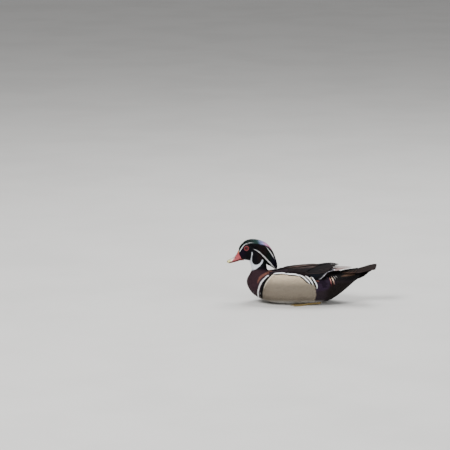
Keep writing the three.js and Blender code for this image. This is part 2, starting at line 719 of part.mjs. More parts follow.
const legs = joined([leg(LEFT, GAP), leg(RIGHT, GAP)]);
const torsoFeathers = joined([LEFT, RIGHT].flatMap((side) => [...flankFeathers(side), ...undertailCoverts(side)]));
const torso = abovePlane(torsoForm().add(torsoFeathers)).subtract(legs);
const neck = neckForm();
const tailGrown = sheetCore(tailSheet, TAIL_CORE, GAP + 1);
const tail = joined([sheetCore(tailSheet, TAIL_CORE), ...tailFeathers(LEFT), ...tailFeathers(RIGHT)]).subtract(bodyGrown);
const lidsClear = joined([LEFT, RIGHT].map((side) => ball(eyeCenter(side), EYE.radius + 2)));
const crestCore = crest.between(0, CREST_CORE_END, { sides: 20, rings: 1, grow: CREST_CORE_LIFT });
const hood = joined([crestCore, ...crestLocks()]).subtract(bodyGrown).subtract(lidsClear);

node("torso", torso, 0x6b5a48, 0.8);
node("neck", neck, 0x4a2028, 0.75);
node("head", head, 0x1c2e26, 0.5);
node("crest", hood, 0x2a3a38, 0.45);
node("bill_upper", upperBill, 0xb4402c, 0.4);
node("bill_lower", lowerBill, 0x2b2220, 0.45);
node("tail", tail, 0x2c2724, 0.7);
const pairs = {
  eye: [ball(eyeCenter(LEFT), EYE.radius), 0x5a0f0c, 0.1],
  wing: [wing(LEFT), 0x3a2c26, 0.6],
  leg: [leg(LEFT, 0), 0xb08a3c, 0.55],
  foot: [foot(LEFT), 0x8a7038, 0.6],
};
for (const [name, [made, color, roughness]] of Object.entries(pairs)) {
  node(`${name}_left`, made, color, roughness);
  node(`${name}_right`, made.mirror([0, 1, 0]), color, roughness);
}

export default group;
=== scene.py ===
"""A drake wood duck, life size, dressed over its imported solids. Metres, +Z up, facing -X."""

import sys
import logging
import math
from dataclasses import dataclass, field
from enum import Enum
from itertools import product
from typing import Callable, Sequence

import bpy
import numpy as np
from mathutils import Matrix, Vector


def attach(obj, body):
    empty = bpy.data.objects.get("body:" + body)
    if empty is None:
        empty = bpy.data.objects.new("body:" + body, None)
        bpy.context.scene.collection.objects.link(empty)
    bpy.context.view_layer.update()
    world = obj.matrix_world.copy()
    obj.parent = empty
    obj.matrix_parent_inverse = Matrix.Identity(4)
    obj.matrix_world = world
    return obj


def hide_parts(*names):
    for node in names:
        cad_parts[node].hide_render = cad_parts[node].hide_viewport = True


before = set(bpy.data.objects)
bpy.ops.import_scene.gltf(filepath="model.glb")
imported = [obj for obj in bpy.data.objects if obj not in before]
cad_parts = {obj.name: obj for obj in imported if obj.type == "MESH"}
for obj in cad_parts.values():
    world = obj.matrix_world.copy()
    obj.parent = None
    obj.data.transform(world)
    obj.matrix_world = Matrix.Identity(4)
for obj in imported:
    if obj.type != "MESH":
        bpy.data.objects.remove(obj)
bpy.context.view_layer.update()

LOG = logging.getLogger("duck")

Array = np.ndarray
Object = bpy.types.Object
Material = bpy.types.Material
Socket = bpy.types.NodeSocket
Row = tuple[float, ...]

MM = 0.001
ELEVATION = math.radians(12.0)
PIXEL = 2.76
IMAGE_SIDE = 450
LEFT, RIGHT = -1, 1
SIDES = {LEFT: "left", RIGHT: "right"}
FULL_TURN = 2 * math.pi
TINY = 1e-9
FAR = 1e9

# Flat sections across the bird, from under the tail to the face, in millimetres: dorsal x and z,
# ventral x and z, half width, widest place, squareness above and below.
BODY_SECTIONS = (
    (169, 94.5, 168, 75.5, 8, 0.5, 2, 2), (151, 91, 148.5, 62.5, 20, 0.5, 2.1, 2),
    (131, 88.5, 127, 43.5, 31, 0.48, 2.2, 2), (108, 88, 104, 24.5, 43, 0.47, 2.3, 2),
    (80, 91.5, 78, 8.5, 54.5, 0.46, 2.4, 2.1), (45, 96, 45, -0.5, 63.5, 0.45, 2.6, 2.2),
    (5, 97.5, 5, -2, 67.5, 0.45, 2.8, 2.2), (-32, 93.5, -34, -2, 67, 0.45, 2.8, 2.2),
    (-64, 87.5, -70, 0.5, 62.5, 0.45, 2.7, 2.2), (-84, 86.5, -102, 8.5, 56, 0.46, 2.5, 2.2),
    (-91.5, 89, -130, 22.5, 47, 0.48, 2.3, 2.1), (-94, 92.5, -146, 43, 38.5, 0.5, 2.1, 2),
    (-95, 97, -149.5, 62, 31, 0.52, 2, 2), (-95.6, 102, -141.5, 79, 26, 0.52, 2, 2),
    (-96.6, 108.5, -136.3, 91, 22.5, 0.52, 2, 2), (-98.5, 117, -138.5, 103, 20.5, 0.52, 2, 2),
    (-101.5, 127, -141.5, 113.5, 19.5, 0.53, 2, 2), (-104.5, 140, -145.5, 118, 19.5, 0.55, 2, 2.1),
    (-110, 154.5, -150, 118.5, 20.3, 0.58, 2, 2.2), (-120, 166, -154, 118.5, 20.8, 0.6, 2, 2.3),
    (-132.5, 172, -158, 119, 20.6, 0.6, 2, 2.3), (-146, 172.5, -161.5, 120, 19.4, 0.6, 2, 2.3),
    (-157.5, 168.5, -164.5, 121.5, 17.2, 0.59, 2, 2.3), (-166, 161.5, -167, 124, 14.2, 0.58, 2, 2.2),
    (-171, 153, -169.5, 128.5, 11, 0.56, 2, 2.1), (-173.5, 146, -172, 135, 6.5, 0.54, 2, 2),
)
CREST_SECTIONS = (
    (-167, 162.5, -163, 156, 9, 0.6, 2, 2), (-155, 172, -150, 161, 14, 0.6, 2, 2),
    (-138, 176.2, -135, 156, 18.2, 0.6, 2, 2), (-120, 175, -122, 147, 20, 0.6, 2, 2),
    (-104, 169.8, -113, 133, 18.6, 0.6, 2, 2), (-91.5, 161, -106, 121, 16, 0.6, 2, 2),
    (-80.8, 147.6, -100, 110, 13.5, 0.6, 2, 2), (-72.8, 130.5, -91, 103.5, 10.5, 0.6, 2, 2),
    (-67.6, 114, -82, 99.5, 7.5, 0.6, 2, 2), (-65.2, 102, -75.5, 94.8, 4.5, 0.6, 2, 2),
    (-66.5, 94, -70.8, 91, 1.5, 0.6, 2, 2),
)
WING_SECTIONS = (
    (-92, 89.5, -92, 10, 58.5, 0.46, 2.5, 2.2), (-66, 91, -66, 4, 65, 0.46, 2.8, 2.2),
    (-35, 97, -35, 2, 69.3, 0.46, 2.9, 2.2), (5, 101.5, 5, 2, 70, 0.46, 2.9, 2.2),
    (45, 105, 45, 4, 66.5, 0.46, 2.7, 2.2), (78, 109.5, 78, 20, 56, 0.5, 2.4, 2),
    (104, 106, 104, 46, 40, 0.55, 2.2, 2), (124, 101.5, 124, 66, 25, 0.6, 2, 2),
    (142, 98.5, 142, 86, 10, 0.6, 2, 2),
)
FLANK_LINE = (120, 115, 110, 104, 98, 92, 60, 36, 28, 29, 40, 50, 60)
BILL_BASE = ((-172.5, 141.2), (-173.2, 136.1), (-169.7, 127.4), (-166, 120.5), (-160, 117))


def srgb(code: str) -> Array:
    """Turns six hexadecimal digits, such as 8a3a22, into a linear colour."""
    values = [int(code[i:i + 2], 16) / 255 for i in (0, 2, 4)]
    return np.array([v / 12.92 if v <= 0.04045 else ((v + 0.055) / 1.055) ** 2.4 for v in values])


def opaque(code: str) -> Row:
    """Turns six hexadecimal digits into the four numbers of a shader's colour."""
    return (*srgb(code), 1)


def blend(base: Array, colour: Array, cover: Array) -> Array:
    """Lays a colour over a base, as far as the cover says."""
    return base + cover[..., None] * (colour - base)


def smooth(low: float, high: float, value: Array) -> Array:
    """Rises smoothly from 0 at low to 1 at high.

    Args:
        low: where the rise starts.
        high: where it ends.
        value: the values to read.

    Returns:
        The risen values, from 0 to 1.
    """
    s = np.clip((value - low) / (high - low), 0, 1)
    return s * s * (3 - 2 * s)


def length_of(ways: Array) -> Array:
    """Measures directions, keeping their last axis."""
    return np.linalg.norm(ways, axis=-1, keepdims=True)


def listed(values: Sequence[float], at: Array) -> Array:
    """Reads an evenly stepped list between its entries."""
    return np.interp(at, np.arange(len(values)), values)


def spline(rows: Sequence[Sequence[float]], at: Array) -> Array:
    """Reads smoothly between rows of numbers.

    Args:
        rows: the rows, one for each whole step.
        at: where to read.

    Returns:
        One row of numbers for each place.
    """
    given = np.array(rows, float)
    padded = np.vstack([2 * given[0] - given[1], given, 2 * given[-1] - given[-2]])
    at = np.clip(at, 0, len(given) - 1)
    i = np.minimum(at.astype(int), len(given) - 2)
    w = (at - i)[..., None]
    a, b, c, d = (padded[i + k] for k in range(4))
    m, n = 0.5 * (c - a), 0.5 * (d - b)
    return ((2 * w**3 - 3 * w**2 + 1) * b + (w**3 - 2 * w**2 + w) * m + (3 * w**2 - 2 * w**3) * c
            + (w**3 - w**2) * n)


def ring_faces(count: int, ring: int, outward: bool = True) -> list[list[int]]:
    """Joins rings of points into a tube closed at both ends.

    Args:
        count: how many rings.
        ring: points in each.
        outward: which way the faces turn.

    Returns:
        The faces.
    """
    sides = [[i * ring + k, (i + 1) * ring + k, (i + 1) * ring + (k + 1) % ring, i * ring + (k + 1) % ring]
             for i in range(count - 1) for k in range(ring)]
    first, last = list(range(ring)), [(count - 1) * ring + k for k in range(ring)]
    if outward:
        return sides + [first, last[::-1]]
    return [[a, d, c, b] for a, b, c, d in sides] + [first[::-1], last]


class Surface:
    """A surface that plumage lies on, read by two coordinates, in millimetres."""

    step = 0.01
    reach = FAR

    def point(self, u: Array, v: Array) -> Array:
        """Gives the points of the surface; each kind of surface has its own."""
        raise NotImplementedError

    def outward(self, u: Array, v: Array, normal: Array) -> Array:
        """Turns normals to the outer side; each kind of surface has its own."""
        raise NotImplementedError

    def frame(self, u: Array, v: Array) -> tuple[Array, Array, Array, Array]:
        """Gives points with the surface's own directions.

        Args:
            u: first coordinates.
            v: second coordinates.

        Returns:
            The points, the steps along u and v, and the outward normals.
        """
        s = self.step
        along = (self.point(u + s, v) - self.point(u - s, v)) / (2 * s)
        across = (self.point(u, v + s) - self.point(u, v - s)) / (2 * s)
        normal = np.cross(along, across)
        normal /= length_of(normal) + TINY
        return self.point(u, v), along, across, self.outward(u, v, normal)

    def at(self, u: Array, v: Array, lift: Array) -> Array:
        """Gives points raised over the surface by the lift."""
        point, _, _, normal = self.frame(u, v)
        return point + normal * np.asarray(lift)[..., None]


class Form(Surface):
    """A closed form through flat sections; u counts sections and v is the angle from the dorsal line."""

    step = 0.015
    reach = 0.9

    def __init__(self, sections: Sequence[Row], area: Row) -> None:
        """Keeps the sections, and the first coordinates and spans that its unwrap is taken over."""
        self.rows, self.area, self.last = sections, area, len(sections) - 1

    def point(self, u: Array, v: Array) -> Array:
        """Gives the points of the form.

        Args:
            u: places, counted in sections.
            v: angles from the dorsal line, in radians.

        Returns:
            The points, in millimetres.
        """
        u, v = np.broadcast_arrays(np.asarray(u, float), np.asarray(v, float))
        section = np.moveaxis(spline(self.rows, u), -1, 0)
        dorsal_x, dorsal_z, ventral_x, ventral_z, half, widest, above, below = section
        cosine, sine = np.cos(v), np.sin(v)
        middle_x = dorsal_x + (ventral_x - dorsal_x) * widest
        middle_z = dorsal_z + (ventral_z - dorsal_z) * widest
        up = cosine > 0
        power = 2 / np.where(up, above, below)
        reach = np.abs(cosine) ** power
        x = middle_x + (np.where(up, dorsal_x, ventral_x) - middle_x) * reach
        z = middle_z + (np.where(up, dorsal_z, ventral_z) - middle_z) * reach
        return np.stack([x, np.sign(sine) * half * np.abs(sine) ** power, z], axis=-1)

    def outward(self, u: Array, v: Array, normal: Array) -> Array:
        """Turns normals away from the middle of their section."""
        s = spline(self.rows, np.asarray(u, float) + 0 * np.asarray(v, float))
        middle = np.stack([(s[..., 0] + s[..., 2]) / 2, 0 * s[..., 0], (s[..., 1] + s[..., 3]) / 2], axis=-1)
        facing = np.sum(normal * (self.point(u, v) - middle), axis=-1, keepdims=True)
        return np.where(facing < 0, -normal, normal)


@dataclass
class Sheet(Surface):
    """An arched sheet over x and y, whose height follows a list along x."""

    start: float
    pitch: float
    heights: Row
    arch: float
    area: Row
    step = 0.5

    def point(self, u: Array, v: Array) -> Array:
        """Gives the points over x and y."""
        u, v = np.broadcast_arrays(np.asarray(u, float), np.asarray(v, float))
        height = listed(self.heights, (u - self.start) / self.pitch) - self.arch * v * v
        return np.stack([u, v, height], axis=-1)

    def outward(self, u: Array, v: Array, normal: Array) -> Array:
        """Turns normals upward."""
        return np.where(normal[..., 2:] < 0, -normal, normal)


BODY = Form(BODY_SECTIONS, (0.0, -math.pi, 25.0, FULL_TURN))
CREST = Form(CREST_SECTIONS, (0.0, -math.pi, 10.0, FULL_TURN))
WING = Form(WING_SECTIONS, (0.0, -math.pi, 8.0, FULL_TURN))
TAIL = Sheet(108, 12, (86.5, 89.6, 91.8, 93.8, 96, 99.4, 103.6, 107, 108.6), 0.009,
             (95.0, -45.0, 115.0, 90.0))
PRIMARIES = Sheet(20, 20, (98.4, 99, 99.6, 99.9, 99.6, 98.8, 97.6), 0.006, (30.0, 0.0, 120.0, 130.0))


def side_view(points: Array) -> Array:
    """Reads points in the bird's side elevation, where its markings are drawn, alike on both sides."""
    height = points[..., 2] * math.cos(ELEVATION) - np.abs(points[..., 1]) * math.sin(ELEVATION)
    return np.stack([points[..., 0], height], axis=-1)


def from_line(place: Array, start: Row, end: Row) -> tuple[Array, Array]:
    """Measures places from a straight line.

    Args:
        place: places in side elevation.
        start: the line's first point.
        end: its last point.

    Returns:
        Distances in millimetres, and shares of the way along the line.
    """
    x, y = place[..., 0] - start[0], place[..., 1] - start[1]
    run = np.array([end[0] - start[0], end[1] - start[1]])
    s = np.clip((x * run[0] + y * run[1]) / (run @ run), 0, 1)
    return np.hypot(x - s * run[0], y - s * run[1]), s


@dataclass(frozen=True)
class Stroke:
    """A painted line: points in side elevation, each with the line's half width there."""

    points: tuple[Row, ...]
    edge: float = 0.5

    def distance(self, place: Array) -> Array:
        """Measures how far places are outside the mark, below zero inside."""
        best = np.full(place.shape[:-1], FAR)
        for start, end in zip(self.points, self.points[1:]):
            away, s = from_line(place, start, end)
            best = np.minimum(best, away - start[2] - s * (end[2] - start[2]))
        return best

    def cover(self, place: Array) -> Array:
        """Says how far places are under the mark, from 0 to 1."""
        return 1 - smooth(-self.edge, self.edge, self.distance(place))


@dataclass(frozen=True)
class Patch(Stroke):
    """A painted area: its outline in side elevation."""

    edge: float = 0.6

    def distance(self, place: Array) -> Array:
        """Measures how far places are outside the mark, below zero inside."""
        best = np.full(place.shape[:-1], FAR)
        inside = np.zeros(place.shape[:-1], bool)
        x, y = place[..., 0], place[..., 1]
        for (ax, ay), (bx, by) in zip(self.points, self.points[1:] + self.points[:1]):
            best = np.minimum(best, from_line(place, (ax, ay), (bx, by))[0])
            if ay != by:
                inside ^= ((ay > y) != (by > y)) & (x < (bx - ax) * (y - ay) / (by - ay) + ax)
        return np.where(inside, -best, best)


@dataclass(frozen=True)
class Crescent:
    """One large flank feather's white tip: its middle line in side elevation, and where the shaft roots."""

    middle: tuple[Row, ...]
    root: Row
    white: float
    rise: float
    outer_black: float = 1.1
    inner_black: float = 3.6

    def offset(self, at: Array, out: float) -> Array:
        """Draws a line beside the middle of the white.

        Args:
            at: places along the line, from 0 to 1.
            out: how far outside the middle line, in millimetres.

        Returns:
            Places in side elevation.
        """
        line = spline(self.middle, at * (len(self.middle) - 1))
        run = np.gradient(line, axis=0)
        run /= length_of(run)
        return line + out * np.stack([-run[:, 1], run[:, 0]], axis=-1)

    def inner_line(self) -> Stroke:
        """Draws the black line inside the white, thin at its ends."""
        at = np.linspace(0.06, 0.94, 9)
        line = self.offset(at, -self.white / 2 - 0.6 * self.inner_black)
        half = self.inner_black / 2 * np.clip(2.2 * np.sin(math.pi * at), 0, 1) * (1.15 - 0.5 * at)
        return Stroke(tuple((x, h, r) for (x, h), r in zip(line.tolist(), half.tolist())), 0.4)


CRESCENTS = (
    Crescent(((-75, 75.4), (-71, 77.8), (-64, 79), (-57, 79.3), (-50, 79.3), (-44.5, 77.8), (-42, 74.5)),
             (-66, 58), 3.3, 2.6),
    Crescent(((-43, 75.6), (-38, 77), (-29, 76.6), (-20.6, 76.2), (-13.6, 75.2), (-8.8, 73), (-6, 69)),
             (-32, 52), 3.6, 2.3),
    Crescent(((-9, 73.6), (-3, 72.4), (3, 70.4), (8.4, 66.8), (12.6, 62.6), (17.4, 58), (20.6, 53.6),
              (22, 48)), (-8, 42), 3.6, 2.0, inner_black=4.0),
    Crescent(((10, 70.4), (16, 68.2), (21, 65), (24.6, 61), (27.6, 57), (29.8, 52.4), (30.6, 46)), (4, 40),
             3.6, 1.6, inner_black=4.8),
    Crescent(((25, 69), (30, 66), (34, 62), (37, 57.4), (40, 52.6), (42, 48), (42.6, 43), (41.4, 37)),
             (14, 36), 3.3, 1.2, inner_black=4.8),
)


@dataclass(frozen=True)
class Shade:
    """One colour of the plumage, with its metallic gloss and how finely it is barred."""

    code: str
    gloss: float = 0.0
    fine: float = 0.0


class Colour(Enum):
    """The colours of a drake in full plumage, with a few painted highlights, painted shade and painted
    skylight among them.
    """

    CROWN = Shade("1f3834", 0.5)
    CROWN_FRONT = Shade("101c1b", 0.4)
    # Pale lilac and pink: the crown's iridescent purple, painted bright as a painted highlight along the top
    # of the head.
    LILAC = Shade("a9ade6", 0.4)
    ROSE = Shade("f5a3cb", 0.3)
    CREST = Shade("0d1814", 0.45)
    CREST_WARM = Shade("1c1113", 0.35)
    CREST_TIP = Shade("151222", 0.5)
    CHEEK = Shade("0a080f", 0.35)
    FACE = Shade("180c20", 0.4)
    WHITE = Shade("f3f4f5")
    # White of throat and chin, tinted blue as painted skylight.
    THROAT = Shade("ecf2fc")
    NECK = Shade("140d15", 0.25)
    MAROON = Shade("35232a", 0.08)
    CHESTNUT = Shade("784e43", 0.02)
    BLACK = Shade("070709", 0.2)
    # Cream along the flank's front top edge, a painted rim highlight.
    CREAM = Shade("f1e6d2", 0.0, 0.2)
    BUFF = Shade("d3c1a5", 0.0, 0.85)
    # Darker, greyer buff for the lower flank, painted shade under light from above.
    BUFF_LOW = Shade("867c6e", 0.0, 0.7)
    BELLY = Shade("e8e4dc")
    MANTLE = Shade("2b2228", 0.2)
    # Pale brown along the top of the back, a painted highlight for the sheen there.
    LIT_BACK = Shade("a58a80", 0.1)
    RUMP = Shade("0b090a", 0.2)
    PURPLE = Shade("2b1f30", 0.15)
    PLUME = Shade("ffe2c6")
    PLUME_PINK = Shade("e0a597")
    PLUME_RED = Shade("5c1a1e", 0.1)
    PLUME_GREY = Shade("8a8784")
    UNDERTAIL = Shade("191312", 0.1)
    SCAPULAR = Shade("171012", 0.12)
    COVERT = Shade("1a1314", 0.1)
    COVERT_EDGE = Shade("3d302e")
    TERTIAL = Shade("0c0a0d", 0.25)
    SPECULUM = Shade("0a1017", 0.35)
    TRAILING = Shade("e2e0ea")
    SPOT = Shade("84504a")
    PRIMARY = Shade("5c4d4b", 0.05)
    SILVER = Shade("b7a19d")
    RECTRIX = Shade("221a19", 0.15)
    RECTRIX_EDGE = Shade("3b2e2c", 0.1)
    TAIL_BRONZE = Shade("6a5040", 0.15)


class Paint:
    """Colour, gloss and fine barring of many points, laid on coat by coat."""

    def __init__(self, shape: tuple[int, ...], **first: Array | float) -> None:
        """Starts with black points, and lays the first coats."""
        self.tint = np.zeros(shape + (3,))
        self.gloss = np.zeros(shape)
        self.fine = np.zeros(shape)
        self.coats(**first)

    def coats(self, **covers: Array | float) -> "Paint":
        """Lays colours over what is there.

        Args:
            covers: how much of each colour the points take, from 0 to 1, by the colour's name.

        Returns:
            This paint, for the next coats.
        """
        for name, cover in covers.items():
            shade = Colour[name].value
            cover = np.broadcast_to(np.asarray(cover, float), self.gloss.shape)
            self.tint = blend(self.tint, srgb(shade.code), cover)
            self.gloss += cover * (shade.gloss - self.gloss)
            self.fine += cover * (shade.fine - self.fine)
        return self

    def store(self, mesh: bpy.types.Mesh, dim: float) -> None:
        """Puts the paint on a mesh without its barring, dimmed as painted shade."""
        put_colour(mesh, "tint", self.tint * dim)
        put_colour(mesh, "finish", np.stack([self.gloss, 0 * self.fine, 0 * self.fine], axis=-1))


class Markings:
    """The drake's pattern, drawn in side elevation in millimetres, and read alike by skin and feathers."""

    brow = Stroke(((-169.2, 138, 1.0), (-166.5, 143.2, 1.2), (-163.4, 148.1, 1.1), (-159, 154, 0.9),
                   (-155.2, 157.6, 0.75), (-147, 160.7, 0.6), (-138.8, 162.5, 0.4),
                   (-131.5, 162.2, 0.1)), 0.4)
    nape = Stroke(((-95.6, 150, 0.1), (-92.7, 147.2, 0.8), (-87.4, 140.4, 1.1), (-82.1, 133, 1.1),
                   (-76.8, 124.1, 0.8), (-74.6, 119.5, 0.1)), 0.4)
    ear = Stroke(((-132, 145, 0.1), (-123.4, 141.8, 0.7), (-111.5, 133.4, 1.15), (-102.3, 124.6, 1.35),
                  (-92, 113.4, 1.5), (-81, 102.4, 1.5), (-71, 90.4, 1.1)), 0.4)
    throat = Patch(((-135.4, 136.8), (-136.8, 127), (-138.2, 119), (-140.2, 112.5), (-139.6, 105.7),
                    (-138.7, 92), (-138, 84), (-124.2, 90.5), (-113.8, 98.1), (-106.9, 107.1),
                    (-104.2, 115.4), (-107.3, 116.7), (-110.4, 109.2), (-115.2, 104.3), (-121.4, 101.6),
                    (-128.3, 101.9), (-133.2, 105.7), (-135.6, 111.9), (-135.6, 124), (-133.5, 131.9),
                    (-134.5, 136.8)))
    chin = Patch(((-160, 116.6), (-140.4, 114), (-138, 107.8), (-138, 96), (-150, 96), (-162, 108)))
    rust = Stroke(((-119.5, 52, 0.6), (-117.4, 59, 2), (-113, 66.5, 3), (-106, 72.6, 2.9), (-99, 76.8, 2.7),
                   (-92, 80.2, 2.8), (-85, 83.8, 2.4), (-77, 87.6, 1.2)), 1.6)
    white_bar = Stroke(((-117, 10, 1.5), (-118.6, 24, 1.7), (-117.2, 33.9, 1.75), (-114, 44, 1.75),
                        (-109.6, 53.4, 1.75), (-102.8, 62, 1.8), (-94.8, 69.8, 1.6), (-89.5, 74, 0.9)), 0.4)
    black_bar = Stroke(((-108.4, 10, 3), (-109.2, 24, 3.7), (-107.8, 33.9, 3.9), (-105, 44, 3.9),
                        (-101, 53.4, 3.7), (-94.8, 62.6, 3.3), (-88, 69.4, 2.6), (-79.6, 76.8, 2),
                        (-70, 81.2, 1.2)), 0.5)
    flank = Patch(((-118, 2), (-108, 24), (-104.6, 34), (-101.6, 44), (-97.2, 53.4), (-91.2, 63), (-86, 70),
                   (-79, 75.4), (-70.3, 78.6), (-60, 79.8), (-42.1, 78.4), (-26, 77.4), (-10, 72.6),
                   (2, 67.8), (12, 62), (22, 55), (31, 46), (38, 36), (41, 22), (36, 2)), 0.8)
    # The flank's front top edge, painted cream as a rim highlight.
    front_rim = Stroke(((-102.5, 38, 0.6), (-97, 50, 1.2), (-91, 60.6, 1.6), (-84, 69.6, 1.8),
                        (-74, 76.4, 1.4), (-66, 78.6, 0.8)), 1.4)
    tips = tuple(crescent.inner_line() for crescent in CRESCENTS)
    pocket = Patch(((-118, 2), (-100, 60), (-90, 75), (-77, 79.5), (-66, 82), (-54, 82.6), (-42, 81.6),
                    (-30, 81.2), (-16, 79.6), (-4, 76.6), (6, 74.4), (14, 72.6), (22, 70.8), (30, 69),
                    (38, 64), (46, 60.5), (54, 60), (60, 50), (60, 2)))
    bronze = Stroke(((110, 71.5, 0.6), (120, 73.6, 2), (132, 75.4, 2.4), (146, 76.8, 1.2)), 1.6)
    spot = Stroke(((39.5, 58, 1.8), (45, 58.6, 2.4), (48, 57, 1.2)), 1.2)
    patch = Patch(((41, 60), (50, 63), (60, 62), (72, 62), (78, 55), (79, 46), (74, 37), (62, 32),
                   (42, 30)), 4.5)
    crown_line = ((-175, 139), (-168, 136), (-160, 151), (-150, 158), (-132, 160), (-118, 159.5), (-106, 158),
                  (-98, 156), (-90, 151.6), (-82, 145.6), (-76, 139), (-66, 126))

    def head(self, points: Array) -> Paint:
        """Paints the head, its crest and the neck at places on the bird."""
        place = side_view(points)
        x, h = place[..., 0], place[..., 1]
        crown = smooth(-1.5, 1.5, h - np.interp(x, *zip(*self.crown_line)))
        return Paint(
            x.shape, CHEEK=1, FACE=smooth(-148, -162, x) * smooth(116, 128, h),
            CREST_WARM=smooth(-126, -112, x) * smooth(104, 116, h),
            CREST=smooth(-106, -88, x + 0.35 * (130 - h)) * smooth(96, 108, h),
            CROWN_FRONT=crown, CROWN=crown * smooth(-142, -126, x),
            # The crown's iridescent purple, painted pale lilac and pink as a painted highlight along its top.
            LILAC=crown * smooth(-120, -110, x) * smooth(-90, -102, x) * 0.9,
            ROSE=crown * smooth(-106, -98, x) * smooth(-76, -84, x) * 0.9,
            CREST_TIP=smooth(-88, -76, x) * smooth(140, 126, h), NECK=smooth(98, 86, h),
            # Throat and chin: white tinted blue as painted skylight.
            MAROON=smooth(84, 64, h), THROAT=self.throat.cover(place),
        ).coats(THROAT=self.chin.cover(place) * smooth(-166, -158, x)).coats(
            WHITE=np.maximum.reduce([line.cover(place) for line in (self.brow, self.nape, self.ear)]))

    def body(self, points: Array) -> Paint:
        """Paints the breast, flanks, belly, back and rump at places on the bird."""
        place = side_view(points)
        x, h = place[..., 0], place[..., 1]
        side = self.flank.cover(place)
        low = smooth(13, -5, h + 0.1 * np.abs(points[..., 1])) * smooth(-132, -112, x) * smooth(72, 52, x)
        paint = Paint(x.shape, MAROON=1, MANTLE=smooth(-100, -88, x) * smooth(78, 86, h))
        paint.coats(MANTLE=smooth(-84, -70, x), RUMP=smooth(30, 60, x) * smooth(50, 66, h),
                    UNDERTAIL=smooth(58, 80, x) * smooth(62, 50, h))
        paint.coats(RUMP=smooth(84, 100, x) * smooth(70, 78, h), PURPLE=self.patch.cover(place),
                    # The flank is painted darker and greyer towards its bottom, as painted shade.
                    TAIL_BRONZE=self.bronze.cover(place) * 0.6, BUFF=side, BUFF_LOW=side * smooth(70, 40, h),
                    # Cream painted highlight along the flank's front top rim.
                    CREAM=side * self.front_rim.cover(place) * 0.8, BELLY=low,
                    CHESTNUT=self.rust.cover(place) * smooth(16, 32, h))
        for line in self.tips:
            paint.coats(BLACK=line.cover(place))
        bars = smooth(4, 14, h)
        return paint.coats(WHITE=self.white_bar.cover(place) * bars, BLACK=self.black_bar.cover(place) * bars,
                           SPOT=self.spot.cover(place))

    def whole(self, points: Array) -> Paint:
        """Paints any place on the bird, turning from body to head up the neck."""
        place = side_view(points)
        up = smooth(84, 92, place[..., 1]) * smooth(-62, -70, place[..., 0])
        up = np.maximum(up, smooth(100, 108, place[..., 1]) * smooth(-50, -62, place[..., 0]))
        head, body = self.head(points), self.body(points)
        paint = Paint(up.shape)
        paint.tint = blend(body.tint, head.tint, up)
        paint.gloss = body.gloss + up * (head.gloss - body.gloss)
        paint.fine = body.fine * (1 - up)
        return paint


MARKINGS = Markings()


def locate(surface: Form, place: Array, side: int) -> Array:
    """Finds where places drawn in side elevation lie on a form.

    Args:
        surface: the form.
        place: places in side elevation.
        side: LEFT or RIGHT.

    Returns:
        Their coordinates on the form.
    """
    angles = np.radians(np.linspace(3, 150, 120))
    grid = np.meshgrid(np.linspace(0.1, surface.last - 0.1, 150), angles, indexing="ij")
    table = np.stack(grid, axis=-1).reshape(-1, 2)
    seen = side_view(surface.point(*table.T))
    flat = place.reshape(-1, 2)
    here = table[[int(np.argmin(np.sum((seen - spot) ** 2, axis=1))) for spot in flat]]
    nudge, most, least = 0.004, 0.06, 1e-3
    for _ in range(6):
        now, by_u, by_v = (side_view(surface.point(here[:, 0] + du, here[:, 1] + dv))
                           for du, dv in ((0, 0), (nudge, 0), (0, nudge)))
        by_u, by_v, miss = (by_u - now) / nudge, (by_v - now) / nudge, flat - now
        det = by_u[:, 0] * by_v[:, 1] - by_u[:, 1] * by_v[:, 0]
        det = np.where(np.abs(det) < least, least, det)
        step = np.stack([(miss[:, 0] * by_v[:, 1] - miss[:, 1] * by_v[:, 0]) / det,
                         (by_u[:, 0] * miss[:, 1] - by_u[:, 1] * miss[:, 0]) / det], axis=-1)
        here = here + np.clip(step, -most, most)
    here[:, 1] *= side
    return here.reshape(place.shape)


@dataclass(frozen=True)
class Vane:
    """The cut of one kind of feather: its half width along it, and the places of its points across."""

    outline: tuple[Row, ...]
    places: Row = (-1.0, 0.0, 1.0)
    camber: float = 0.16
    thickness: float = 0.22
    shaft: float = 0.0
    ragged: float = 0.0


class Cut(Enum):
    """The kinds of feather on the bird, from the face to the tail."""

    FACE = Vane(((0, 0.6), (0.45, 1), (0.78, 0.75), (1, 0.12)), thickness=0.12)
    CONTOUR = Vane(((0, 0.5), (0.4, 0.95), (0.68, 1), (0.87, 0.72), (1, 0.16)), thickness=0.16)
    LOCK = Vane(((0, 0.8), (0.25, 1), (0.5, 0.95), (0.78, 0.65), (1, 0.1)), camber=0.35, thickness=0.3)
    PLUME = Vane(((0, 0.7), (0.2, 1), (0.45, 0.9), (0.7, 0.6), (1, 0.12)), camber=0.3, thickness=0.25)
    BROAD = Vane(((0, 0.5), (0.2, 0.8), (0.4, 0.96), (0.6, 1), (0.78, 0.9), (0.9, 0.68), (0.97, 0.4),
                  (1, 0.14)), (-1, -0.5, 0, 0.5, 1), camber=0.1, thickness=0.18, ragged=0.05)
    QUILL = Vane(((0, 0.4), (0.12, 0.7), (0.28, 0.92), (0.45, 1), (0.62, 1), (0.76, 0.95), (0.87, 0.82),
                  (0.94, 0.62), (0.98, 0.38), (1, 0.14)),
                 (-1, -0.5, -0.07, 0, 0.07, 0.5, 1), camber=0.07, thickness=0.26, shaft=0.35, ragged=0.03)

    def stations(self) -> Array:
        """Gives the stations along the feather, from root to tip."""
        return np.array([a for a, _ in self.value.outline])


@dataclass
class Laid:
    """Feathers lying on a surface: one ring of points at each station of each feather."""

    points: Array
    along: Array
    across: Array
    middle: Array
    length: Array
    half: Array
    luck: Array
    unwrap: Array

    def place(self, own: float) -> Array:
        """Gives the places that markings are read at, from each feather's middle to its own points."""
        middle = self.middle[:, None, None, :]
        return middle + (self.points - middle) * own

    def paint(self, **covers: Array | float) -> Paint:
        """Starts the feathers' paint with its first colours."""
        return Paint(self.points.shape[:3], **covers)


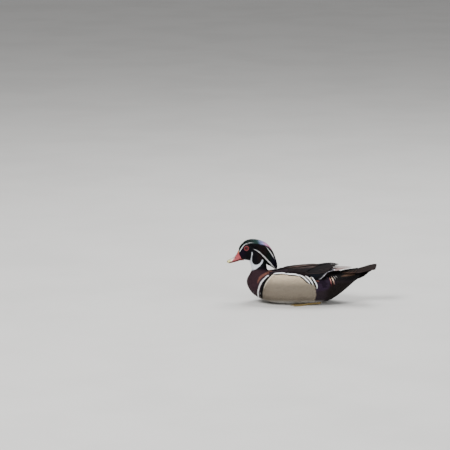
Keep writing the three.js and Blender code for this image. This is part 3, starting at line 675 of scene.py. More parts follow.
def tangent_steps(along: Array, across: Array, way: Array) -> Array:
    """Turns directions on a surface into steps of its coordinates.

    Args:
        along: the surface's step along its first coordinate.
        across: its step along the second.
        way: directions in space.

    Returns:
        The steps of both coordinates for one millimetre that way.
    """
    a, b, d, p, q = (np.sum(m * n, axis=-1) for m, n in (
        (along, along), (along, across), (across, across), (way, along), (way, across)))
    det = np.maximum(a * d - b * b, 1e-6)
    return np.stack([(p * d - q * b) / det, (q * a - p * b) / det], axis=-1)


def settle(points: Array) -> Array:
    """Presses what would sink below the floor flat onto it, keeping its order."""
    z = points[..., 2]
    soft = 0.8
    out = points.copy()
    out[..., 2] = np.where(z < soft, soft * np.exp(np.minimum(z, soft) / soft - 1), z)
    return out


def lay(surface: Surface, cut: Cut, path: Array, half: Array | float, sink: float, rise: Array | float,
        lean: float = 0.0, seed: int = 1) -> Laid:
    """Lays feathers on a surface.

    Args:
        surface: what they lie on.
        cut: the kind of feather.
        path: each feather's centreline at the stations of its cut, in surface coordinates.
        half: half widths in millimetres.
        sink: how deep the root lies under the surface.
        rise: how far the tip stands over it.
        lean: how far the right edge stands over the left one, as a share of the half width.
        seed: for the small differences between feathers.

    Returns:
        The feathers.
    """
    vane, s, c = cut.value, cut.stations(), np.array(cut.value.places)
    w = np.array([b for _, b in vane.outline])
    rng = np.random.default_rng(seed)
    count = len(path)
    rise = np.broadcast_to(np.asarray(rise, float), (count,))
    half = np.broadcast_to(np.asarray(half, float), (count,)) * rng.uniform(0.93, 1.05, count)
    point, along, across, normal = surface.frame(path[..., 0], path[..., 1])
    forward = np.gradient(point, s, axis=1)
    length = np.sum(np.linalg.norm(np.diff(point, axis=1), axis=-1), axis=1)
    forward -= normal * np.sum(forward * normal, axis=-1, keepdims=True)
    forward /= length_of(forward) + TINY
    side = np.cross(normal, forward)
    width = (half[:, None] * w)[..., None]
    web = width * c
    web = web * (1 - vane.ragged * rng.uniform(-0.4, 1, web.shape) * (np.abs(c) > 0.9))
    step = tangent_steps(along, across, side)[:, :, None, :] * web[..., None]
    step = np.clip(step, -surface.reach, surface.reach)
    there = surface.point(path[:, :, None, 0] + step[..., 0], path[:, :, None, 1] + step[..., 1])
    drop = np.sum((there - point[:, :, None]) * normal[:, :, None], axis=-1)
    drop = np.clip(drop, -1.2 * np.abs(web), 0.35 * np.abs(web))
    height = (-sink + (rise[:, None] + sink) * (1 - (1 - s) ** 1.5))[..., None] + lean * web
    height = height + drop - vane.camber * c**2 * width
    height = height + vane.shaft * np.exp(-(c / 0.05) ** 2) * (1 - s)[None, :, None]
    top = point[:, :, None] + side[:, :, None] * web[..., None] + normal[:, :, None] * height[..., None]
    under = top[:, :, 1:-1] - normal[:, :, None] * (vane.thickness * (1 - 0.6 * s))[None, :, None, None]
    ring = np.concatenate([top, under[:, :, ::-1]], axis=2)
    shape = ring.shape[:3]
    places = np.broadcast_to(np.concatenate([c, c[1:-1][::-1]]), shape)
    return Laid(settle(ring), np.broadcast_to(s[None, :, None], shape), places, point[:, len(s) // 2],
                length, half, rng.uniform(-1, 1, count), (path[:, 0] - surface.area[:2]) / surface.area[2:])


def tuck(points: Array) -> Array:
    """Presses the lower edge of a wing into the pocket under the flank feathers."""
    deepest, floor = 7.5, 48
    depth = deepest * (1 - smooth(-1, 5, MARKINGS.pocket.distance(side_view(points))))
    inward = np.stack([0 * points[..., 0], -points[..., 1], floor - points[..., 2]], axis=-1)
    return points + inward / length_of(inward) * depth[..., None]


def between(root: Array, tip: Array, cut: Cut) -> Array:
    """Draws centrelines from roots to tips at the stations of a cut, in surface coordinates."""
    s = cut.stations()[None, :, None]
    return root[:, None] * (1 - s) + tip[:, None] * s


def groom(surface: Surface, root: Array, cut: Cut, length: Array, heading: Array) -> Array:
    """Draws centrelines of given lengths that follow the lie of the coat, against the first coordinate.

    Args:
        surface: what the feathers lie on.
        root: root coordinates, one row each.
        cut: the kind of feather.
        length: lengths in millimetres.
        heading: turn away from the dorsal line, in radians.

    Returns:
        The centrelines at the stations of the cut.
    """
    longest = 1.2
    path = [root.copy()]
    for stretch in np.diff(cut.stations()):
        here = path[-1]
        _, along, across, _ = surface.frame(here[:, 0], here[:, 1])
        ahead = -along / (length_of(along) + TINY)
        down = across * np.sign(here[:, 1:])
        down -= ahead * np.sum(down * ahead, axis=-1, keepdims=True)
        down /= length_of(down) + TINY
        turned = ahead * np.cos(heading)[:, None] + down * np.sin(heading)[:, None]
        step = tangent_steps(along, across, turned) * (stretch * length)[:, None]
        path.append(here + np.clip(step, -longest, longest))
    return np.stack(path, axis=1)


def scatter(surface: Surface, low: Row, high: Row, spacing: float, seed: int,
            keep: Callable[[Array, Array], Array]) -> Array:
    """Spreads roots evenly over part of a surface, none closer than the spacing.

    Args:
        surface: what they stand on.
        low: lowest coordinates of the part.
        high: highest coordinates.
        spacing: least distance in millimetres.
        seed: for the order in which places are tried.
        keep: says which places may have a root, from their points and coordinates.

    Returns:
        Root coordinates, one row each.
    """
    samples, most_tries, crowding = 4000, 400000, 6
    rng = np.random.default_rng(seed)
    trial = rng.uniform(low, high, (samples, 2))
    _, along, across, _ = surface.frame(*trial.T)
    most = np.percentile(np.linalg.norm(np.cross(along, across), axis=-1), 99)
    span = (high[0] - low[0]) * (high[1] - low[1])
    tries = int(crowding * most * span / (0.8 * spacing**2))
    root = rng.uniform(low, high, (min(tries, most_tries), 2))
    point, along, across, _ = surface.frame(*root.T)
    chosen = rng.uniform(0, most, len(root)) < np.linalg.norm(np.cross(along, across), axis=-1)
    chosen &= keep(point, root)
    point, root = point[chosen], root[chosen]
    kept, grid = [], {}
    near = list(product((-1, 0, 1), repeat=3))
    cells = np.floor(point / spacing).astype(int).tolist()
    limit = spacing * spacing
    for index, ((a, b, c), (x, y, z)) in enumerate(zip(cells, point.tolist())):
        others = (spot for i, j, k in near for spot in grid.get((a + i, b + j, c + k), ()))
        if all((px - x) ** 2 + (py - y) ** 2 + (pz - z) ** 2 >= limit for px, py, pz in others):
            grid.setdefault((a, b, c), []).append((x, y, z))
            kept.append(index)
    return root[kept]


Value = Socket | float | Row


class Graph:
    """One tree of shader nodes, with short ways to add to it."""

    def __init__(self, tree: bpy.types.NodeTree) -> None:
        """Keeps the tree."""
        self.tree = tree

    def node(self, kind: str, **settings: object) -> bpy.types.Node:
        """Adds a node of a type, given without its prefix, and sets its properties."""
        made = self.tree.nodes.new("ShaderNode" + kind)
        for key, value in settings.items():
            setattr(made, key, value)
        return made

    def feed(self, socket: Socket, value: Value) -> None:
        """Links a socket to another, or sets its number or colour."""
        if isinstance(value, Socket):
            self.tree.links.new(value, socket)
        else:
            socket.default_value = value

    def fill(self, made: bpy.types.Node, values: dict[str | int, Value]) -> bpy.types.Node:
        """Feeds a node's inputs, each by its name or number."""
        for key, value in values.items():
            self.feed(made.inputs[key], value)
        return made

    def math(self, operation: str, *values: Value) -> Socket:
        """Adds a math node over one to three values."""
        return self.fill(self.node("Math", operation=operation), dict(enumerate(values))).outputs[0]

    def mix(self, factor: Value, first: Value, second: Value, blend_type: str = "MIX") -> Socket:
        """Mixes two colours, the factor being the share of the second."""
        made = self.node("Mix", data_type="RGBA", blend_type=blend_type)
        return self.fill(made, {0: factor, 6: first, 7: second}).outputs[2]

    def span(self, value: Value, low: float, high: float, start: float = 0.0, end: float = 1.0) -> Socket:
        """Maps a value smoothly from low and high to start and end, held there beyond."""
        made = self.node("MapRange", interpolation_type="SMOOTHSTEP")
        return self.fill(made, dict(enumerate((value, low, high, start, end)))).outputs[0]

    def noise(self, place: Value, scale: Value, detail: float = 2.0) -> Socket:
        """Adds noise, about 0.5, over a place."""
        values = {"Vector": place, "Scale": scale, "Detail": detail}
        return self.fill(self.node("TexNoise"), values).outputs[0]

    def split(self, kind: str, value: Value) -> Sequence[Socket]:
        """Takes a vector or a colour apart."""
        return self.fill(self.node("Separate" + kind), {0: value}).outputs

    def attribute(self, name: str) -> Socket:
        """Reads one of the mesh's colours."""
        return self.node("Attribute", attribute_name=name).outputs["Color"]

    def group(self, tree: bpy.types.NodeTree, **values: Value) -> Sequence[Socket]:
        """Places a node group with its own values."""
        return self.fill(self.node("Group", node_tree=tree), values).outputs


class Effects:
    """The node groups that several finishes share, each built once."""

    def __init__(self) -> None:
        """Builds the groups."""
        self.barbs = self.make_barbs()
        self.vermiculation = self.make_vermiculation()
        self.iridescence = self.make_iridescence()
        self.mottle = self.make_mottle()

    @staticmethod
    def begin(name: str, inputs: str, outputs: str) -> tuple[Graph, Sequence[Socket], Sequence[Socket]]:
        """Starts a group with named sockets.

        Args:
            name: the group's name.
            inputs: the names of its inputs, each with its kind after a colon.
            outputs: the same for its outputs.

        Returns:
            Its graph, the sockets that it is given and those that it makes.
        """
        tree = bpy.data.node_groups.new(name, "ShaderNodeTree")
        for way, sockets in (("INPUT", inputs), ("OUTPUT", outputs)):
            for key, kind in (socket.split(":") for socket in sockets.split()):
                tree.interface.new_socket(key, in_out=way, socket_type="NodeSocket" + kind)
        given, made = (tree.nodes.new("NodeGroup" + end) for end in ("Input", "Output"))
        return Graph(tree), given.outputs, made.inputs

    def make_barbs(self) -> bpy.types.NodeTree:
        """Makes the relief of barbs that slant from a feather's shaft, with a few splits between them, and
        painted shade in their grooves and splits.
        """
        graph, given, made = self.begin("barbs", "Place:Vector Pitch:Float", "Height:Float Shade:Float")
        across, along, _ = graph.split("XYZ", given["Place"])
        off = graph.math("ABSOLUTE", across)
        drift = graph.noise(given["Place"], 0.35)
        run = graph.math("MULTIPLY_ADD", off, -1.15, along)
        run = graph.math("MULTIPLY_ADD", drift, 0.9, run)
        turns = graph.math("DIVIDE", run, given["Pitch"])
        wave = graph.math("SINE", graph.math("MULTIPLY", turns, FULL_TURN))
        lane = graph.node("CombineXYZ")
        graph.fill(lane, {0: graph.math("MULTIPLY", turns, 0.22), 1: graph.math("MULTIPLY", off, 0.06)})
        split = graph.span(graph.noise(lane.outputs[0], 1.0, 1.0), 0.62, 0.7)
        shaft = graph.span(off, 0.08, 0.3, 1.0, 0.0)
        height = graph.math("MULTIPLY_ADD", shaft, 1.4, graph.math("MULTIPLY_ADD", wave, 0.4, 0.5))
        graph.feed(made["Height"], graph.math("MULTIPLY_ADD", split, -0.9, height))
        # Painted shade: the colour darkens in the grooves between barbs and more in the splits.
        shade = graph.math("MULTIPLY_ADD", wave, 0.09, 0.93)
        graph.feed(made["Shade"], graph.math("MULTIPLY_ADD", split, -0.3, shade))
        return graph.tree

    def make_vermiculation(self) -> bpy.types.NodeTree:
        """Makes the fine wavy dark lines that cross a pale feather."""
        graph, given, made = self.begin(
            "vermiculation", "Colour:Color Ink:Color Mask:Float Place:Vector Pitch:Float", "Colour:Color")
        across, along, _ = graph.split("XYZ", given["Place"])
        run = graph.math("ADD", along, graph.math("MULTIPLY", graph.math("ABSOLUTE", across), 0.3))
        run = graph.math("MULTIPLY_ADD", graph.noise(given["Place"], 0.55, 3.0), 3.2, run)
        turns = graph.math("DIVIDE", run, given["Pitch"])
        wave = graph.math("SINE", graph.math("MULTIPLY", turns, FULL_TURN))
        line = graph.span(wave, 0.1, 0.75)
        broken = graph.span(graph.noise(given["Place"], 1.3), 0.3, 0.55)
        cover = graph.math("MULTIPLY", graph.math("MULTIPLY", line, broken), given["Mask"])
        graph.feed(made["Colour"], graph.mix(cover, given["Colour"], given["Ink"]))
        return graph.tree

    def make_iridescence(self) -> bpy.types.NodeTree:
        """Makes the patchy metallic colour of glossy feathers."""
        graph, given, made = self.begin("iridescence", "Colour:Color Gloss:Float Dull:Float",
                                        "Colour:Color Metallic:Float Roughness:Float")
        place = graph.node("TexCoord").outputs["Object"]
        patch, fine = graph.noise(place, 140.0), graph.noise(place, 900.0)
        swing = graph.math("MULTIPLY", graph.math("SUBTRACT", patch, 0.5), given["Gloss"])
        turned = graph.fill(graph.node("HueSaturation"), {
            "Hue": graph.math("MULTIPLY_ADD", swing, 0.5, 0.5),
            "Value": graph.math("MULTIPLY_ADD", fine, 0.5, 0.75), "Color": given["Colour"]})
        graph.feed(made["Colour"], turned.outputs[0])
        graph.feed(made["Metallic"], graph.math("MULTIPLY", given["Gloss"], 0.9))
        smoother = graph.math("MULTIPLY_ADD", given["Gloss"], -0.38, given["Dull"])
        graph.feed(made["Roughness"], graph.math("MULTIPLY_ADD", fine, 0.12, smoother))
        return graph.tree

    def make_mottle(self) -> bpy.types.NodeTree:
        """Makes uneven colour and a soft relief for horn, scutes, skin and floor."""
        graph, given, made = self.begin("mottle", "Colour:Color Stain:Color Scale:Float Amount:Float",
                                        "Colour:Color Height:Float")
        place = graph.node("TexCoord").outputs["Object"]
        broad = graph.noise(place, given["Scale"], 4.0)
        fine = graph.noise(place, graph.math("MULTIPLY", given["Scale"], 6.0), 3.0)
        cover = graph.math("MULTIPLY", graph.span(broad, 0.38, 0.68), given["Amount"])
        graph.feed(made["Colour"], graph.mix(cover, given["Colour"], given["Stain"]))
        graph.feed(made["Height"], graph.math("MULTIPLY_ADD", fine, 0.5, broad))
        return graph.tree


def finished(name: str, build: Callable[[Graph], dict[str, Value]], relief: Row) -> Material:
    """Makes a material.

    Args:
        name: its name.
        build: adds its nodes and gives the shader's inputs, with the relief under Normal.
        relief: the strength and the depth of the relief.

    Returns:
        The material.
    """
    material = bpy.data.materials.new(name)
    material.use_nodes = True
    graph = Graph(material.node_tree)
    values = build(graph)
    height = values.pop("Normal")
    shader = graph.fill(material.node_tree.nodes["Principled BSDF"], values)
    bump = graph.fill(graph.node("Bump"), {"Strength": relief[0], "Distance": relief[1], "Height": height})
    graph.feed(shader.inputs["Normal"], bump.outputs[0])
    return material


@dataclass(frozen=True)
class Plumage:
    """The finish of one kind of plumage."""

    name: str
    pitch: float = 0.45
    dull: float = 0.72
    strength: float = 0.5
    specular: float = 0.12
    depth: float = 0.00012
    bar_pitch: float = 1.15
    ink: str = "3c332a"

    def nodes(self, graph: Graph, effects: Effects) -> dict[str, Value]:
        """Adds the nodes that tint, gloss and bar the feathers, and paint shade between their barbs.

        Args:
            graph: the material's graph.
            effects: the shared node groups.

        Returns:
            The shader's inputs.
        """
        tint = graph.attribute("tint")
        gloss, fine, _ = graph.split("Color", graph.attribute("finish"))
        place = graph.node("UVMap", uv_map="barbs").outputs[0]
        barbs = graph.group(effects.barbs, Place=place, Pitch=self.pitch)
        glossy = graph.group(effects.iridescence, Colour=tint, Gloss=gloss, Dull=self.dull)
        barred = graph.group(effects.vermiculation, Colour=glossy["Colour"], Ink=opaque(self.ink), Mask=fine,
                             Place=place, Pitch=self.bar_pitch)
        # The barbs' Shade output darkens the colour as painted shade in grooves and splits.
        colour = graph.mix(1.0, barred["Colour"], barbs["Shade"], "MULTIPLY")
        return {"Base Color": colour, "Metallic": glossy["Metallic"], "Roughness": glossy["Roughness"],
                "Specular IOR Level": self.specular, "Normal": barbs["Height"]}

    def make(self, effects: Effects) -> Material:
        """Builds the material with the shared node groups."""
        return finished(self.name, lambda graph: self.nodes(graph, effects), (self.strength, self.depth))


@dataclass(frozen=True)
class Horn:
    """The finish of bill, lids, legs and floor; without a colour of its own it takes the mesh's tint."""

    name: str
    colour: str | None
    stain: str
    scale: float
    amount: float
    roughness: float
    coat: float = 0.0
    depth: float = 0.0002
    specular: float = 0.5
    strength: float = 0.4

    def nodes(self, graph: Graph, effects: Effects) -> dict[str, Value]:
        """Adds the nodes that stain and roughen the surface.

        Args:
            graph: the material's graph.
            effects: the shared node groups.

        Returns:
            The shader's inputs.
        """
        uneven = 0.25
        base = graph.attribute("tint") if self.colour is None else opaque(self.colour)
        stained = graph.group(effects.mottle, Colour=base, Stain=opaque(self.stain), Scale=self.scale,
                              Amount=self.amount)
        rough = graph.math("MULTIPLY_ADD", stained["Height"], uneven, self.roughness - 0.15)
        return {"Base Color": stained["Colour"], "Roughness": rough, "Specular IOR Level": self.specular,
                "Coat Weight": self.coat, "Coat Roughness": 0.06, "Normal": stained["Height"]}

    def make(self, effects: Effects) -> Material:
        """Builds the material with the shared node groups."""
        return finished(self.name, lambda graph: self.nodes(graph, effects), (self.strength, self.depth))


def placed(name: str, data: bpy.types.ID) -> Object:
    """Puts new data into the scene as an object."""
    piece = bpy.data.objects.new(name, data)
    bpy.context.scene.collection.objects.link(piece)
    return piece


def enrol(mesh: bpy.types.Mesh, slot: str, nodes: Sequence[str], material: Material) -> Object:
    """Makes a mesh a piece on the duck's one body, in place of its solids.

    Args:
        mesh: the mesh, which has the piece's name.
        slot: not used.
        nodes: the solids that it stands for.
        material: its finish.

    Returns:
        The piece.
    """
    piece = placed(mesh.name, mesh)
    mesh.materials.append(material)
    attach(piece, "root")
    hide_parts(*nodes)
    LOG.info("%s: %d faces", piece.name, len(mesh.polygons))
    return piece


def new_mesh(name: str, points: Array, faces: Sequence[Sequence[int]], slot: str, nodes: Sequence[str],
             material: Material) -> Object:
    """Makes a smooth mesh piece; its points are in millimetres, and the rest is as for enrol."""
    mesh = bpy.data.meshes.new(name)
    mesh.from_pydata((np.asarray(points).reshape(-1, 3) * MM).tolist(), [], faces)
    mesh.polygons.foreach_set("use_smooth", np.ones(len(mesh.polygons), bool))
    return enrol(mesh, slot, nodes, material)


def put_colour(mesh: bpy.types.Mesh, name: str, values: Array) -> None:
    """Stores one colour of three channels for each point of a mesh."""
    layer = mesh.color_attributes.new(name, "FLOAT_COLOR", "POINT")
    rgba = np.ones((len(mesh.vertices), 4), np.float32)
    rgba[:, :3] = np.clip(values.reshape(-1, 3), 0, 1)
    layer.data.foreach_set("color", rgba.ravel())


def put_map(mesh: bpy.types.Mesh, name: str, values: Array, corners: Array) -> None:
    """Stores one place of a map for each corner of a mesh, from those of its points."""
    mesh.uv_layers.new(name=name).data.foreach_set("uv", values[corners].astype(np.float32).ravel())


@dataclass
class Coat:
    """Feathers gathered into one piece."""

    name: str
    material: Material
    slot: str
    nodes: tuple[str, ...]
    batches: list[tuple[Laid, Paint, Array]] = field(default_factory=list)
    patch: float = 0.003

    def add(self, laid: Laid, paint: Paint, unevenness: float = 0.14, hollow: float = 0.35) -> None:
        """Adds feathers with their paint.

        Args:
            laid: the feathers.
            paint: their paint, one value for each point.
            unevenness: how much feathers differ in brightness.
            hollow: how much darker a root is painted than a tip, as painted shade under the feathers over it.
        """
        # Random tone per feather, times painted shade that darkens each root under the feathers lying over
        # it.
        tone = (1 + unevenness * laid.luck)[:, None, None] * (1 - hollow * (1 - laid.along) ** 1.3)
        self.batches.append((laid, paint, paint.tint * tone[..., None]))

    def columns(self, laid: Laid, paint: Paint, tint: Array) -> list[Array]:
        """Gives one row for each point of a batch.

        Args:
            laid: the feathers.
            paint: their paint.
            tint: their colour.

        Returns:
            The points, colours, finishes, edge marks, and the places on both maps.
        """
        own = [laid.across * laid.half[:, None, None], laid.along * laid.length[:, None, None]]
        patch = np.stack([laid.across * (self.patch / 2), laid.along * self.patch - self.patch / 2], axis=-1)
        edge = np.where(laid.across <= -1, 1, np.where(laid.across >= 1, 2, 0))
        finish = np.stack([paint.gloss, paint.fine, 0 * paint.fine], axis=-1)
        bake = laid.unwrap[:, None, None] * 0.99 + 0.005 + patch
        values = (laid.points, tint, finish, edge[..., None], bake, np.stack(own, axis=-1))
        return [value.reshape(-1, value.shape[-1]) for value in values]

    def build(self) -> Object:
        """Makes the piece, riding in place of its solids."""
        loops, starts, rows = [], [], []
        offset = corner = 0
        for laid, paint, tint in self.batches:
            count, stations, ring = laid.points.shape[:3]
            faces = ring_faces(stations, ring)
            template = np.concatenate(faces)
            begin = np.cumsum([0] + [len(face) for face in faces[:-1]])
            number = np.arange(count)[:, None]
            loops.append((template + offset + stations * ring * number).ravel())
            starts.append((begin + corner + len(template) * number).ravel())
            rows.append(self.columns(laid, paint, tint))
            offset += stations * ring * count
            corner += len(template) * count
        points, tint, finish, edge, bake, barbs = (np.concatenate(column) for column in zip(*rows))
        loops, starts = np.concatenate(loops), np.concatenate(starts)
        mesh = bpy.data.meshes.new(self.name)
        mesh.vertices.add(offset)
        mesh.loops.add(len(loops))
        mesh.polygons.add(len(starts))
        mesh.vertices.foreach_set("co", (points * MM).astype(np.float32).ravel())
        mesh.loops.foreach_set("vertex_index", loops.astype(np.int32))
        mesh.polygons.foreach_set("loop_start", starts.astype(np.int32))
        mesh.polygons.foreach_set("use_smooth", np.ones(len(starts), bool))
        mesh.update(calc_edges=True)
        put_map(mesh, "OFBake", bake, loops)
        put_map(mesh, "barbs", barbs, loops)
        put_colour(mesh, "tint", tint)
        put_colour(mesh, "finish", finish)
        ends = np.zeros(len(mesh.edges) * 2, np.int32)
        mesh.edges.foreach_get("vertices", ends)
        kind = edge[:, 0][ends.reshape(-1, 2)]
        layer = mesh.attributes.new("sharp_edge", "BOOLEAN", "EDGE")
        layer.data.foreach_set("value", (kind[:, 0] > 0) & (kind[:, 0] == kind[:, 1]))
        mesh.validate()
        return enrol(mesh, self.slot, self.nodes, self.material)


@dataclass(frozen=True)
class Eye:
    """Where an eye sits and its sizes, in millimetres."""

    section: float = 20.9
    angle: float = 66.0
    ball: float = 7.2
    depth: float = 5.0
    opening: float = 5.1
    lid_width: float = 1.0
    lid_height: float = 0.9
    clear: float = 7.3
    pupil: float = 2.8
    iris: float = 4.4
    socket: float = 2.8

    def seat(self, side: int) -> tuple[Array, Array]:
        """Gives an eye's place on the head and the way that it looks."""
        turn = side * math.radians(self.angle)
        point, _, _, normal = BODY.frame(np.array([self.section]), np.array([turn]))
        return point[0], normal[0]

    def keep_clear(self, points: Array) -> Array:
        """Pushes points aside that would lie over an eye."""
        points = points.copy()
        for side in SIDES:
            seat, out = self.seat(side)
            off = points - seat
            above = np.sum(off * out, axis=-1, keepdims=True)
            flat = off - above * out
            away = length_of(flat) + 1e-6
            over = (away < self.clear) & (np.abs(above) < self.clear)
            points += np.where(over, flat * (self.clear / away - 1), 0)
        return points


EYE = Eye()


@dataclass
class Skin:
    """The one skin of body, neck, head, crown and tail root, just under the coat."""

    material: Material
    body_depth: float = 1.6
    head_depth: float = 0.8
    crest_depth: float = 2.4
    crest_end: float = 6.4
    cell: float = 1.5
    # The skin takes the coat's colours darkened by this share, as painted shade under the feathers.
    dim: float = 0.55
    tail_root: tuple[Row, ...] = ((100, 15, -1.5, -8), (120, 15, -1.2, -6), (138, 15, -1.2, -4),
                                  (152, 13, -1.3, -2.6))

    def loft(self, surface: Form, u: Array, lift: Array, around: int) -> tuple[Array, list[list[int]]]:
        """Makes one closed form under a surface.

        Args:
            surface: the surface.
            u: its stations.
            lift: how far each station lies over the surface.
            around: points round a station.

        Returns:
            Points in millimetres and faces.
        """
        v = np.linspace(-math.pi, math.pi, around, endpoint=False) + 0.01
        rings = surface.at(*np.meshgrid(u, v, indexing="ij"), lift[:, None])
        rings[..., 2] = np.maximum(rings[..., 2], 0.5)
        return rings.reshape(-1, 3), ring_faces(len(u), around, False)

    def tail_block(self) -> tuple[Array, list[list[int]]]:
        """Makes the flesh under the root of the tail.

        Returns:
            Points in millimetres and faces.
        """
        points = []
        for x, half, above, below in self.tail_root:
            for y, lift in ((-half, above - 1), (0, above), (half, above - 1), (half * 0.8, below),
                            (-half * 0.8, below)):
                points.append(TAIL.point(x, y) + np.array([0, 0, lift]))
        return np.array(points), ring_faces(len(self.tail_root), 5, False)

    def build(self) -> Object:
        """Makes the skin and paints it as the coat over it."""
        u = np.linspace(0.02, BODY.last - 0.02, 150)
        lift = -(self.body_depth + (self.head_depth - self.body_depth) * smooth(11, 16, u))
        crown = np.linspace(0.1, self.crest_end, 50)
        parts = (self.loft(BODY, u, lift, 72),
                 self.loft(CREST, crown, np.full(len(crown), -self.crest_depth), 40), self.tail_block())
        faces, offset = [], 0
        for points, part_faces in parts:
            faces += [[k + offset for k in face] for face in part_faces]
            offset += len(points)
        skin = new_mesh("skin", np.concatenate([points for points, _ in parts]), faces, "torso",
                        ("torso", "neck", "head"), self.material)
        remesh = skin.modifiers.new("fuse", "REMESH")
        remesh.mode, remesh.voxel_size, remesh.use_smooth_shade = "VOXEL", self.cell * MM, True
        ease = skin.modifiers.new("ease", "SMOOTH")
        ease.factor, ease.iterations = 0.5, 3
        fused = bpy.data.meshes.new_from_object(skin.evaluated_get(bpy.context.evaluated_depsgraph_get()))
        skin.modifiers.clear()
        skin.data = fused
        self.finish(fused)
        return skin

    def finish(self, mesh: bpy.types.Mesh) -> None:
        """Sinks the eye sockets, presses the belly flat and paints the skin, dimmed as painted shade under
        the feathers.
        """
        spots = np.zeros(len(mesh.vertices) * 3, np.float32)
        mesh.vertices.foreach_get("co", spots)
        spots = spots.reshape(-1, 3).astype(float) / MM
        for side in SIDES:
            seat, out = EYE.seat(side)
            near = np.linalg.norm(spots - seat, axis=1)
            spots -= out * (EYE.socket * (1 - smooth(EYE.opening - 0.4, EYE.clear, near)))[:, None]
        spots = settle(spots)
        spots[:, 2] = np.maximum(spots[:, 2], 0.2)
        mesh.vertices.foreach_set("co", (spots * MM).astype(np.float32).ravel())
        mesh.polygons.foreach_set("use_smooth", np.ones(len(mesh.polygons), bool))
        MARKINGS.whole(spots).store(mesh, self.dim)
        corners = np.zeros(len(mesh.loops), np.int32)
        mesh.loops.foreach_get("vertex_index", corners)
        put_map(mesh, "barbs", side_view(spots), corners)
        mesh.update()


@dataclass(frozen=True)
class Tract:
    """Feathers that cover one part of the body, with their sizes in millimetres and angles in degrees."""

    name: str
    cut: Cut
    sections: Row
    angles: Row
    spacing: float
    length: float
    half: float
    sink: float
    rise: float
    heading: float = 0.0
    own: float = 0.5
    wander: float = 6.0

    def keeps(self, points: Array, root: Array) -> Array:
        """Keeps roots in the tract's angles and off eyes, bill and what the wings or flanks hide.

        Args:
            points: places in millimetres.
            root: the same in surface coordinates.

        Returns:
            Whether each place may have a root.
        """
        place = side_view(points)
        angle = np.abs(np.degrees(root[:, 1]))
        keep = (angle >= self.angles[0]) & (angle <= self.angles[1])
        line = listed(FLANK_LINE, root[:, 0])
        if self.name == "flank":
            keep &= (angle > line - 1) & ((MARKINGS.flank.distance(place) < 0.5) | (place[:, 0] > -70))
        elif self.name == "mantle":
            keep &= ((angle < line + 4) | (root[:, 0] > 9.2)) & (points[:, 0] < -40)
        elif self.name == "rump":
            keep &= points[:, 0] > 60
        elif self.name in ("face", "cheek"):
            base_x, base_h = zip(*sorted(BILL_BASE, key=lambda spot: spot[1]))
            keep &= place[:, 0] > np.interp(place[:, 1], base_h, base_x) - 0.5
            for side in SIDES:
                keep &= np.linalg.norm(points - EYE.seat(side)[0], axis=1) > EYE.clear - 0.4
        return keep


class Plate(Enum):
    """Which piece of the coat a tract belongs to, with the solids it stands for and its slot."""

    HEAD = ("coat_head", ("head",), "head")
    NECK = ("coat_neck", ("neck",), "neck")
    BREAST = ("coat_breast", ("torso",), "torso")
    BACK = ("coat_back", ("torso",), "torso")
    UNDER = ("coat_belly", ("torso",), "torso")
    FLANK = ("coat_flanks", ("torso",), "torso")


TRACTS = {
    Plate.HEAD: (Tract("face", Cut.FACE, (19.5, 25), (0, 180), 0.95, 3.6, 0.8, 0.8, 0.25, own=1.0),
                 Tract("cheek", Cut.FACE, (15.5, 19.5), (0, 180), 1.1, 5.0, 0.95, 0.9, 0.3, own=1.0)),
    Plate.NECK: (Tract("neck", Cut.CONTOUR, (11.6, 15.5), (0, 180), 1.35, 6.5, 1.3, 1.1, 0.35, own=1.0),),
    Plate.BREAST: (Tract("breast", Cut.CONTOUR, (8.3, 11.6), (38, 180), 2.1, 9.5, 2.1, 1.5, 0.4, own=0.95),),
    Plate.BACK: (Tract("mantle", Cut.CONTOUR, (6.0, 12), (0, 60), 2.7, 13, 2.7, 1.6, 0.4),
                 Tract("rump", Cut.CONTOUR, (0.3, 4.5), (0, 70), 2.7, 14, 2.6, 1.6, 0.4, own=0.9)),
    Plate.UNDER: (Tract("belly", Cut.CONTOUR, (4.0, 9.2), (112, 180), 3.0, 14, 2.9, 1.6, 0.3, own=0.9),
                  Tract("undertail", Cut.CONTOUR, (0.3, 4.4), (62, 180), 2.8, 17, 2.8, 1.7, 0.5, own=0.9)),
    Plate.FLANK: (Tract("flank", Cut.BROAD, (4.5, 10.6), (26, 118), 5.0, 22, 5.6, 1.7, 0.65, 3.0, 0.95,
                        5.0),),
}


